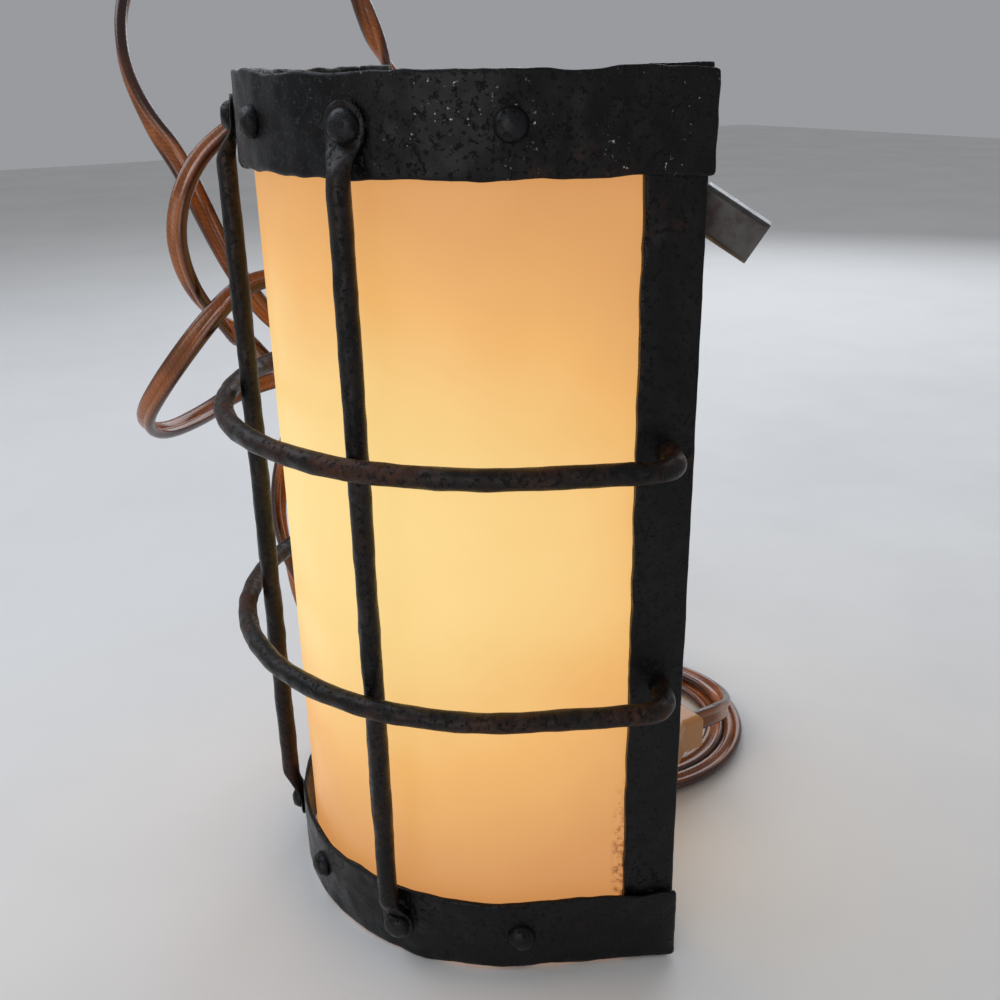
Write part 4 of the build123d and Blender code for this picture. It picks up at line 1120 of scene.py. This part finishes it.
# ==================================================================== the forged cage
@dataclass
class ForgedCage:
    """Bands, stiles, rods, hoops and rivets, drawn again with the hammer's marks.

    Attributes:
        plan: Plan that all of them follow.
        band_height: Height of a band.
        band_thick: Thickness of a band.
        step: Length of one drawn segment.
        bar_radius: Radius of rods and hoops.
        edge_fade: Height over which the waver of a band's edge dies out.
        hoop_entry: Wall to the middle of a hoop's end, along the flank.
        hoop_bend: Radius where a hoop turns into its stile.
        hoop_inner: Where a hoop ends, outward from the bands' outer face.
        hoop_offset: Bands' outer face to the middle of a hoop.
        stile_thick: Thickness of a stile.
        stile_reach: Width of a stile, from the wall forward.
        stile_back: Gap between a stile and the wall plane.
        stile_fit: Gap between a stile and the bands.
        stile_steps: Extrusions in a stile.
        stile_fade: Width over which the waver of a stile's edge dies out.
        paddle_radius: Radius of a rod's flat end.
        paddle_thick: Thickness of a rod's flat end.
        paddle_neck: Length over which a flat end turns into the round rod.
        rod_standoff: Bands' outer face to the near side of a rod.
        rod_steps: Segments in the round part of a rod.
        rivet_radius: Radius of a rivet's head.
        rivet_squash: Height of a rivet's head over its radius.
        rivet_step: Angle between rivets round the nose.
        rivet_heights: Height of the rivets of each band.
    """

    plan: Plan
    band_height: float = 25.4 * MM
    band_thick: float = 2.0 * MM
    step: float = 2.6 * MM
    bar_radius: float = 3.2 * MM
    edge_fade: float = 5 * MM
    hoop_entry: float = 8.5 * MM
    hoop_bend: float = 7.0 * MM
    hoop_inner: float = -4.5 * MM
    hoop_offset: float = 11.3 * MM
    stile_thick: float = 2.5 * MM
    stile_reach: float = 17.0 * MM
    stile_back: float = 0.4 * MM
    stile_fit: float = 0.05 * MM
    stile_steps: int = 150
    stile_fade: float = 6 * MM
    paddle_radius: float = 6.0 * MM
    paddle_thick: float = 2.2 * MM
    paddle_neck: float = 11.0 * MM
    rod_standoff: float = 1.5 * MM
    rod_steps: int = 74
    rivet_radius: float = 4.3 * MM
    rivet_squash: float = 0.72
    rivet_step: float = math.radians(30.5)
    rivet_heights: dict[str, float] = field(
        default_factory=lambda: {"top_band_rivets": 241.3 * MM, "bottom_band_rivets": 12.7 * MM}
    )

    def build(self) -> None:
        """Make every forged piece."""
        for place in ("top", "bottom"):
            self.band(f"hammered_{place}_band", f"{place}_band")
        for place in ("upper", "lower"):
            self.hoop(f"hammered_{place}_hoop", f"{place}_hoop")
        sides = {"right": 1, "left": -1}
        for place, side in sides.items():
            self.stile(f"hammered_{place}_stile", f"{place}_stile", side)
        for place, side in sides.items():
            self.rod(f"hammered_{place}_rod", f"{place}_guard_rod", side)
        self.rivets()

    def band(self, name: str, node: str) -> None:
        """Draw one band round the plan.

        Args:
            name: Name of the new piece.
            node: CAD node that it stands for.
        """
        low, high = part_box(node)
        plan = self.plan
        middle = (low.z + high.z) / 2
        skipped = self.band_thick / 2 * math.tan(plan.lean)
        start = plan.flank(skipped, -self.band_thick / 2, middle)
        work = BarWork(name, plan, start, (self.band_thick, self.band_height), (2, 12))
        flank = plan.flank_length - skipped
        flank_steps = max(2, round(flank / self.step))
        work.run(plan.forward, flank, flank_steps)
        nose_steps = round(plan.nose_radius() * plan.nose_turn / self.step)
        work.turn(Vector((0, plan.nose_centre, middle)), plan.nose_turn, nose_steps)
        work.run(plan.homeward, flank, flank_steps)
        piece = work.finish()
        subdivide_surface(piece, 1)
        full = self.edge_fade / 10
        group_by_height(piece, "upper_edge", high.z - self.edge_fade, high.z - full)
        group_by_height(piece, "lower_edge", low.z + self.edge_fade, low.z + full)
        Hammering(Marks.WAVES, 13 * MM, 1.5 * MM, "Z", "upper_edge").strike(piece)
        Hammering(Marks.WAVES, 15 * MM, 1.4 * MM, "Z", "lower_edge", lift=True).strike(piece)
        Hammering(Marks.DENTS, 10 * MM, 0.4 * MM).strike(piece)
        Hammering(Marks.WAVES, 5 * MM, 0.25 * MM).strike(piece)
        self.hand_in(piece, node)

    def hoop(self, name: str, node: str) -> None:
        """Draw one hoop, from its end in the right stile to its end in the left.

        Args:
            name: Name of the new piece.
            node: CAD node that it stands for.
        """
        low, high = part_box(node)
        plan = self.plan
        z = (low.z + high.z) / 2
        sides, bend_steps, tenon_steps = 14, 6, 5
        start = plan.flank(self.hoop_entry, self.hoop_inner, z)
        tenon = self.hoop_offset - self.hoop_bend - self.hoop_inner
        pivot = plan.flank(self.hoop_entry + self.hoop_bend, self.hoop_offset - self.hoop_bend, z)
        flank = plan.flank_length - self.hoop_entry - self.hoop_bend
        flank_steps = max(1, round(flank / self.step))
        nose_steps = round(plan.nose_radius(self.hoop_offset) * plan.nose_turn / self.step)
        work = BarWork.round_bar(name, plan, start, self.bar_radius, sides)
        work.run(plan.outward, tenon, tenon_steps)
        work.turn(pivot, math.pi / 2, bend_steps)
        work.run(plan.forward, flank, flank_steps)
        work.turn(Vector((0, plan.nose_centre, z)), plan.nose_turn, nose_steps)
        work.run(plan.homeward, flank, flank_steps)
        work.turn(Vector((-pivot.x, pivot.y, z)), math.pi / 2, bend_steps)
        work.run(Vector((plan.outward.x, -plan.outward.y, 0)), tenon, tenon_steps)
        piece = work.finish()
        subdivide_surface(piece, 1)
        Hammering(Marks.DENTS, 7 * MM, 0.34 * MM).strike(piece)
        Hammering(Marks.WAVES, 12 * MM, 0.3 * MM).strike(piece)
        self.hand_in(piece, node)

    def stile(self, name: str, node: str, side: int) -> None:
        """Draw one upright flat bar beside the wall.

        Args:
            name: Name of the new piece.
            node: CAD node that it stands for.
            side: 1 for the right one, -1 for the left one.
        """
        low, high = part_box(node)
        plan = self.plan
        thick, reach = self.stile_thick, self.stile_reach
        near = (thick * math.sin(plan.lean) + self.stile_back) / math.cos(plan.lean)
        inward = self.band_thick + self.stile_fit + thick / 2
        middle = plan.flank((near + reach) / 2, -inward, low.z)
        put_down()
        bpy.ops.mesh.primitive_grid_add(
            x_subdivisions=3,
            y_subdivisions=12,
            size=1,
            location=(side * middle.x, middle.y, middle.z),
            rotation=(0, 0, -side * plan.lean),
        )
        piece = named(name)
        piece.scale = (thick, reach - near, 1)
        settle(piece)
        bpy.ops.object.mode_set(mode="EDIT")
        bpy.context.tool_settings.mesh_select_mode = (False, False, True)
        bpy.ops.mesh.select_all(action="SELECT")
        rise = (high.z - low.z) / self.stile_steps
        for _ in range(self.stile_steps):
            bpy.ops.mesh.extrude_region_move(TRANSFORM_OT_translate={"value": (0, 0, rise)})
        bpy.ops.object.mode_set(mode="OBJECT")
        close_up(piece)
        bevel = piece.modifiers.new("worn_corners", "BEVEL")
        bevel.width = 0.5 * MM
        bevel.segments = 2
        apply_modifiers(piece)
        edge = plan.flank(reach, 0.0)
        group = piece.vertex_groups.new(name="free_edge")
        for vertex in piece.data.vertices:
            away = math.hypot(vertex.co.x - side * edge.x, vertex.co.y - edge.y)
            if away < self.stile_fade:
                group.add([vertex.index], 1 - away / self.stile_fade, "REPLACE")
        Hammering(Marks.WAVES, 9 * MM, 1.3 * MM, "Y", "free_edge", lift=True).strike(piece)
        Hammering(Marks.WAVES, 4 * MM, 0.4 * MM, "Y", "free_edge", lift=True).strike(piece)
        Hammering(Marks.DENTS, 9 * MM, 0.3 * MM).strike(piece)
        self.hand_in(piece, node)

    def rod(self, name: str, node: str, side: int) -> None:
        """Draw one guard rod: round bar, flattened to a round paddle at both ends.

        Args:
            name: Name of the new piece.
            node: CAD node that it stands for.
            side: 1 for the right one, -1 for the left one.
        """
        low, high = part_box(node)
        middle = (low + high) / 2
        angle = side * math.atan2(middle.x * side, self.plan.nose_centre - middle.y)
        stations = self.rod_stations(high.z - low.z)
        put_down()
        bpy.ops.mesh.primitive_circle_add(vertices=18, radius=1, fill_type="NGON")
        piece = named(name)
        bpy.ops.object.mode_set(mode="EDIT")
        bpy.ops.mesh.select_all(action="SELECT")
        for _ in stations[1:]:
            bpy.ops.mesh.extrude_region_move(TRANSFORM_OT_translate={"value": (0, 0, 1)})
        bpy.ops.object.mode_set(mode="OBJECT")
        out = Vector((math.sin(angle), -math.cos(angle), 0))
        across = Vector((math.cos(angle), math.sin(angle), 0))
        base = Vector((0, self.plan.nose_centre, high.z)) + out * self.plan.nose_radius()
        last = len(stations) - 1
        for vertex in piece.data.vertices:
            drop, width, thick, lift = stations[min(last, max(0, round(vertex.co.z)))]
            side_way, out_way = vertex.co.x, vertex.co.y
            slimming = 1 - 0.02 * min(1.0, lift / self.rod_standoff)
            vertex.co = base + Vector((0, 0, -drop)) + across * (side_way * width)
            vertex.co += out * (lift + thick / 2 + out_way * thick / 2 * slimming)
        close_up(piece)
        subdivide_surface(piece, 1)
        Hammering(Marks.DENTS, 6 * MM, 0.3 * MM).strike(piece)
        Hammering(Marks.WAVES, 16 * MM, 0.34 * MM).strike(piece)
        self.hand_in(piece, node)

    def rod_stations(self, length: float) -> list[tuple[float, float, float, float]]:
        """Sections of a guard rod from its upper end to its lower end.

        Args:
            length: Length of the rod.

        Returns:
            Drop from the upper end, half width, thickness and lift off the bands, per section.
        """
        paddle, flat, bar = self.paddle_radius, self.paddle_thick, self.bar_radius
        cuts, tip, flat_share, swelling = 8, 0.25 * MM, 0.35, 0.7
        stations: list[tuple[float, float, float, float]] = []
        for index in range(cuts + 1):
            turn = math.pi / 2 * index / cuts
            drop = paddle * (1 - math.cos(turn))
            stations.append((drop, max(tip, paddle * math.sin(turn)), flat, 0.0))
        for index in range(1, cuts + 1):
            share = index / cuts
            eased = share * share * (3 - 2 * share)
            width = paddle + (bar - paddle) * eased
            swollen = max(0.0, (share - flat_share) / (1 - flat_share)) ** swelling
            thick = flat + (2 * bar - flat) * swollen
            drop = paddle + self.paddle_neck * share
            stations.append((drop, width, thick, self.rod_standoff * eased))
        end = list(stations)
        first = stations[-1][0]
        for index in range(1, self.rod_steps):
            drop = first + (length - 2 * first) * index / self.rod_steps
            stations.append((drop, bar, 2 * bar, self.rod_standoff))
        return stations + [(length - a, b, c, d) for a, b, c, d in reversed(end)]

    def rivets(self) -> None:
        """Model one hammered rivet head and set a copy at every rivet."""
        put_down()
        bpy.ops.mesh.primitive_uv_sphere_add(segments=24, ring_count=16, radius=self.rivet_radius)
        head = named("rivet_head")
        bpy.ops.object.mode_set(mode="EDIT")
        bpy.ops.mesh.select_all(action="SELECT")
        bpy.ops.mesh.bisect(
            plane_co=(0, 0, -0.4 * MM), plane_no=(0, 0, 1), clear_inner=True, use_fill=True
        )
        bpy.ops.object.mode_set(mode="OBJECT")
        head.scale = (1, 1, self.rivet_squash)
        settle(head)
        close_up(head)
        Hammering(Marks.DENTS, 2.6 * MM, 0.35 * MM).strike(head)
        seats: dict[str, list[Matrix]] = {node: [] for node in (*self.rivet_heights, "rod_rivets")}
        for node, z in self.rivet_heights.items():
            for turn in (-2, 0, 2):
                seats[node].append(self.plan.station(turn * self.rivet_step, z))
            for turn in (-1, 1):
                seat = self.plan.station(turn * self.rivet_step, z, self.paddle_thick)
                seats["rod_rivets"].append(seat)
        spin = random.Random(7)
        for node, places in seats.items():
            copies = []
            for place in places:
                copy = head.copy()
                copy.data = head.data.copy()
                bpy.context.scene.collection.objects.link(copy)
                copy.matrix_world = (
                    place
                    @ Matrix.Rotation(spin.uniform(0, 2 * math.pi), 4, "Z")
                    @ Matrix.Diagonal((spin.uniform(0.97, 1.0), spin.uniform(0.97, 1.0), 1.0, 1))
                )
                copies.append(copy)
            piece = join(f"hammered_{node}", copies)
            settle(piece)
            self.hand_in(piece, node)
        bpy.data.objects.remove(head)

    def hand_in(self, piece: bpy.types.Object, node: str) -> None:
        """Dress a forged piece and let it stand for its CAD node.

        Args:
            piece: The finished piece.
            node: CAD node that it replaces.
        """
        low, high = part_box(node)
        for vertex in piece.data.vertices:
            vertex.co = [min(max(at, near), far) for at, near, far in zip(vertex.co, low, high)]
        smooth(piece, 60)
        NODE_FINISHES[node].dress(piece)
        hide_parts(node)
        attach(piece, "root")
        LOG.info("%s: %d faces", piece.name, len(piece.data.polygons))


# ==================================================================== the cord
@dataclass
class TwinCord:
    """Flat twin cord on one smooth line, with its coil and its end.

    Attributes:
        wall: Y of the wall plane.
        width: Width of the flat cord.
        thick: Thickness of the flat cord.
        length: Its whole length; not used.
        route: Points from the strain relief to the coil, in millimetres: x, behind the wall, z.
        coil_centre: Centre of the coil, in millimetres: x, behind the wall.
        coil_diameter: Mean diameter of the coil.
        coil_base: Height of the coil's underside.
    """

    wall: float
    width: float = 7.4 * MM
    thick: float = 3.8 * MM
    length: float = 1.8
    coil_centre: tuple[float, float] = (-25.0, 62.0)
    coil_diameter: float = 86.0 * MM
    coil_base: float = 1.4 * MM
    route: list[tuple[float, float, float]] = field(default_factory=lambda: list(CORD_ROUTE))

    def points(self) -> list[Vector]:
        """Control points of the whole cord."""
        points = [Vector((x * MM, self.wall + y * MM, z * MM)) for x, y, z in self.route]
        return points + self.coil_points() + self.end_points()

    def coil_middle(self) -> Vector:
        """Centre of the coil on the floor."""
        return Vector((self.coil_centre[0] * MM, self.wall + self.coil_centre[1] * MM, 0))

    def coil_points(self) -> list[Vector]:
        """Points of the coil: one turn outside, one inside, and the rest on top.

        Returns:
            The points, in metres.
        """
        steps_per_turn = 14
        start, end, full = math.radians(172), math.radians(107), 2 * math.pi
        total = 2 * full + start - end
        steps = round(total / full * steps_per_turn)
        low = self.coil_base + self.thick / 2
        points = []
        for index in range(steps):
            share = index / steps * total / full
            angle = start - share * full
            offset = self.width / 2 * (1 - 2 * self.ramp(share, 0.85, 1.1))
            offset += self.width / 2 * self.ramp(share, 1.75, 2.05)
            z = low + (self.thick + 0.3 * MM) * self.ramp(share, 1.7, 1.95)
            radius = self.coil_diameter / 2 + offset
            place = Vector((radius * math.cos(angle), radius * math.sin(angle), z))
            points.append(self.coil_middle() + place)
        return points

    def end_points(self) -> list[Vector]:
        """Points from the top of the coil up to the plug's rear.

        Returns:
            The points, in metres.
        """
        low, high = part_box("plug_body")
        rear = Vector(((low.x + high.x) / 2, high.y, (low.z + high.z) / 2))
        top = self.coil_base + 1.5 * self.thick
        lifts = (
            (-4.0, 43.0, top),
            (14.5, 40.5, top + 1.5 * MM),
            (30.5, 30.0, 14.5 * MM),
            (38.0, 17.5, 20.5 * MM),
        )
        points = [self.coil_middle() + Vector((x * MM, y * MM, z)) for x, y, z in lifts]
        return points + [rear + Vector((0, 7 * MM, -0.4 * MM)), rear]

    @staticmethod
    def ramp(value: float, low: float, high: float) -> float:
        """Rise smoothly from 0 to 1 between two values."""
        share = min(1.0, max(0.0, (value - low) / (high - low)))
        return share * share * (3 - 2 * share)

    def line(self) -> list[Vector]:
        """Points read along the cord's NURBS spline.

        Returns:
            Evenly spaced points.
        """
        curve = bpy.data.curves.new("cord_line", "CURVE")
        curve.dimensions = "3D"
        curve.resolution_u = 6
        spline = curve.splines.new("NURBS")
        points = self.points()
        spline.points.add(len(points) - 1)
        for slot, point in zip(spline.points, points):
            slot.co = (*point, 1.0)
        spline.order_u = 3
        spline.use_endpoint_u = True
        holder = bpy.data.objects.new("cord_line", curve)
        bpy.context.scene.collection.objects.link(holder)
        bpy.context.view_layer.update()
        mesh = bpy.data.meshes.new_from_object(holder)
        line = [vertex.co.copy() for vertex in mesh.vertices]
        bpy.data.objects.remove(holder)
        bpy.data.meshes.remove(mesh)
        bpy.data.curves.remove(curve)
        return self.even(line, 2.2 * MM)

    @staticmethod
    def even(line: list[Vector], spacing: float) -> list[Vector]:
        """Space points evenly along a line.

        Args:
            line: Points of the line.
            spacing: Distance between the new points.

        Returns:
            The new points, with the line's own ends.
        """
        runs = [(b - a).length for a, b in zip(line, line[1:])]
        count = max(2, round(sum(runs) / spacing))
        step = sum(runs) / count
        points, gone, index = [line[0]], 0.0, 0
        for number in range(1, count):
            while index < len(runs) - 1 and gone + runs[index] < number * step:
                gone += runs[index]
                index += 1
            share = (number * step - gone) / runs[index]
            points.append(line[index].lerp(line[index + 1], share))
        return points + [line[-1]]

    def facings(self, line: list[Vector]) -> tuple[list[Vector], list[Vector]]:
        """Directions of the cord and of its flat face, which lies across each bend.

        Args:
            line: Evenly spaced points of the cord.

        Returns:
            The tangents and the face directions.
        """
        last = len(line) - 1
        tangents = [
            (line[min(i + 1, last)] - line[max(i - 1, 0)]).normalized() for i in range(last + 1)
        ]
        reach, rounds, floor_reach = 5, 60, 9 * MM
        faces: list[Vector] = []
        for i in range(last + 1):
            bend = tangents[min(i + reach, last)] - tangents[max(i - reach, 0)]
            if line[i].z < floor_reach and i > last // 3:
                bend = Vector((0, 0, 0.6))
            if faces and bend.dot(faces[-1]) < 0:
                bend = -bend
            if faces and bend.length < 1e-4:
                bend = faces[-1] * 1e-3
            faces.append(bend)
        for _ in range(rounds):
            eased = [
                faces[max(i - 1, 0)] * 0.25 + faces[i] * 0.5 + faces[min(i + 1, last)] * 0.25
                for i in range(last + 1)
            ]
            faces = [(f - t * f.dot(t)) for f, t in zip(eased, tangents)]
        return tangents, [f.normalized() for f in faces]

    def profile(self) -> list[tuple[float, float]]:
        """Section of two lobes with a groove between them: across and out of the face.

        Returns:
            Distance across and out of the face, per corner.
        """
        lobe = self.thick / 2
        centre = self.width / 2 - lobe
        groove = 0.55 * lobe
        sides = 11
        half = []
        for index in range(sides):
            x = -self.width / 2 * math.cos(math.pi * index / (sides - 1))
            rise = groove
            if abs(x) > 0.25 * centre:
                rise = math.sqrt(max(0.0, lobe**2 - (abs(x) - centre) ** 2))
            half.append((x, rise))
        return half + [(x, -rise) for x, rise in reversed(half[1:-1])]

    def build(self) -> None:
        line = self.line()
        tangents, faces = self.facings(line)
        profile = self.profile()
        count = len(profile)
        vertices = []
        for point, tangent, face in zip(line, tangents, faces):
            across = tangent.cross(face)
            vertices += [point + across * x + face * y for x, y in profile]
        quads = []
        for start in range(0, (len(line) - 1) * count, count):
            for i in range(count):
                j = (i + 1) % count
                quads.append((start + i, start + j, start + count + j, start + count + i))
        ends = [tuple(reversed(range(count))), tuple(range(len(vertices) - count, len(vertices)))]
        mesh = bpy.data.meshes.new("amber_twin_cord")
        mesh.from_pydata(vertices, [], quads + ends)
        layer = mesh.uv_layers.new(name="along")
        step = sum((b - a).length for a, b in zip(line, line[1:])) / (len(line) - 1)
        for polygon in mesh.polygons:
            for loop_index in polygon.loop_indices:
                vertex = mesh.loops[loop_index].vertex_index
                row, side = divmod(vertex, count)
                share = side / count
                closing = polygon.index < len(quads) and polygon.index % count == count - 1
                if closing and side == 0:
                    share = 1.0
                layer.data[loop_index].uv = (row * step, share)
        piece = bpy.data.objects.new("amber_twin_cord", mesh)
        bpy.context.scene.collection.objects.link(piece)
        close_up(piece)
        smooth(piece, 40)
        VINYL.dress(piece)
        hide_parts("flat_cord", "cord_coil", "cord_end")
        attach(piece, "root")
        LOG.info("%s: %d rings", piece.name, len(line))


CORD_ROUTE = [
    (-60, 16, 242), (-64.5, 34.5, 237.5), (-79.5, 47, 231), (-99, 47, 229.5), (-114, 36.5, 235),
    (-119, 21.5, 246.5), (-110, 9.5, 263.5), (-111.5, 3.5, 281), (-116.5, -6.5, 297.5),
    (-123, -29.5, 305), (-123, -57.5, 296), (-118, -75, 278.5), (-109, -81, 258), (-99, -78, 240),
    (-90.5, -71, 225.5), (-84.5, -66.5, 208), (-81, -59.5, 189), (-81, -48.5, 172),
    (-91.5, -30.5, 161), (-102, -16.5, 149), (-117, -12, 143.5), (-132, -18, 138.5),
    (-141, -31, 135), (-140.5, -47, 132), (-130.5, -61.5, 129), (-109, -84, 131),
    (-93, -95, 141.5), (-75.5, -90.5, 158.5), (-66, -77, 178), (-67, -62, 190),
    (-71, -43, 189), (-77, -20, 191), (-88, -3.5, 205), (-97.5, -3.5, 223.5),
    (-101, -17, 239.5), (-95.5, -37.5, 244), (-84.5, -55.5, 236), (-76.5, -72, 226),
    (-73.5, -81, 208), (-76, -78, 189.5), (-83, -66, 173.5), (-87, -52, 161.5), (-88, -41, 146),
    (-95, -41.5, 124), (-98, -48.5, 100.5), (-92, -48, 77.5), (-84, -43, 52), (-83, -37, 30),
    (-86, -25, 13.5), (-92, -8, 5), (-93, 12, 4), (-87.5, 31, 4), (-76.5, 46.5, 4), (-71.5, 61, 4),
]


# ==================================================================== the whole lantern
FRAME: dict = {}


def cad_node(name: str) -> bpy.types.Object:
    """CAD node by name."""
    return FRAME["nodes"][name]


@dataclass
class Studio:
    """Camera, floor and lights.

    Attributes:
        wall: Y of the wall plane.
    """

    wall: float

    def build(self) -> None:
        """Set up the camera, the floor and the lights."""
        self.camera()
        self.floor()
        self.light("sky_panel", (-0.5, -0.4, 0.95), 0.9, 5.5, (0.80, 0.88, 1.0))
        self.light("front_panel", (0.7, -0.9, 0.45), 0.8, 3.0, (1.0, 0.97, 0.93))
        self.light("rear_panel", (-0.7, 0.9, 0.7), 0.9, 5.0, (0.88, 0.93, 1.0))
        world = bpy.data.worlds.new("studio")
        world.use_nodes = True
        background = world.node_tree.nodes["Background"].inputs
        background["Color"].default_value = opaque(0.84, 0.86, 0.90)
        background["Strength"].default_value = 0.38
        bpy.context.scene.world = world
        bpy.context.scene.view_settings.view_transform = "Standard"

    def camera(self) -> None:
        """Place the camera close to the right, above the top band."""
        data = bpy.data.cameras.new("camera")
        data.sensor_width = 36.0
        data.lens = 39.42
        data.clip_start = 0.01
        data.clip_end = 20.0
        camera = bpy.data.objects.new("camera", data)
        camera.location = (275.5 * MM, self.wall - 178.2 * MM, 255.0 * MM)
        yaw, pitch, roll = -1.019, 0.384, -0.019
        ahead = Vector((math.sin(yaw), math.cos(yaw), 0)) * math.cos(pitch)
        forward = ahead - Vector((0, 0, math.sin(pitch)))
        level = Vector((math.cos(yaw), -math.sin(yaw), 0))
        upright = level.cross(forward)
        right = level * math.cos(roll) + upright * math.sin(roll)
        up = right.cross(forward)
        camera.rotation_mode = "QUATERNION"
        camera.rotation_quaternion = Matrix((right, up, -forward)).transposed().to_quaternion()
        bpy.context.scene.collection.objects.link(camera)
        bpy.context.scene.camera = camera

    def floor(self) -> None:
        """Lay a plain pale floor."""
        put_down()
        bpy.ops.mesh.primitive_plane_add(size=6, location=(0, 0, -0.1 * MM))
        floor = named("floor")
        PALE_FLOOR.dress(floor)

    def light(self, name: str, place: tuple, size: float, power: float, tint: tuple) -> None:
        """Hang one soft panel that looks at the lantern.

        Args:
            name: Name of the light.
            place: Where it hangs.
            size: Side of the panel.
            power: Watts.
            tint: Colour.
        """
        data = bpy.data.lights.new(name, "AREA")
        data.size = size
        data.energy = power
        data.color = tint
        lamp = bpy.data.objects.new(name, data)
        lamp.location = place
        lamp.rotation_mode = "QUATERNION"
        lamp.rotation_quaternion = (Vector((0, 0, 0.12)) - Vector(place)).to_track_quat("-Z", "Y")
        bpy.context.scene.collection.objects.link(lamp)


def dress_nodes(plan: Plan) -> None:
    """Give every CAD node its finish.

    Args:
        plan: Plan of the cage; not used.
    """
    low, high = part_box("bulb_glass")
    bulb = ((low.x + high.x) / 2, (low.y + high.y) / 2, low.z + (high.x - low.x) / 2)
    OpalSheet("lit_opal", bulb=bulb).dress(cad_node("opal_diffuser"))
    for node, finish in NODE_FINISHES.items():
        finish.dress(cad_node(node))


def main() -> None:
    """Build the scene."""
    logging.basicConfig(level=logging.INFO, format="%(name)s: %(message)s")
    FRAME.update(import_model())
    plan = Plan.from_frame()
    Studio(plan.back).build()
    TwinCord(plan.back).build()
    dress_nodes(plan)
    ForgedCage(plan).build()


if __name__ == "__main__":
    main()
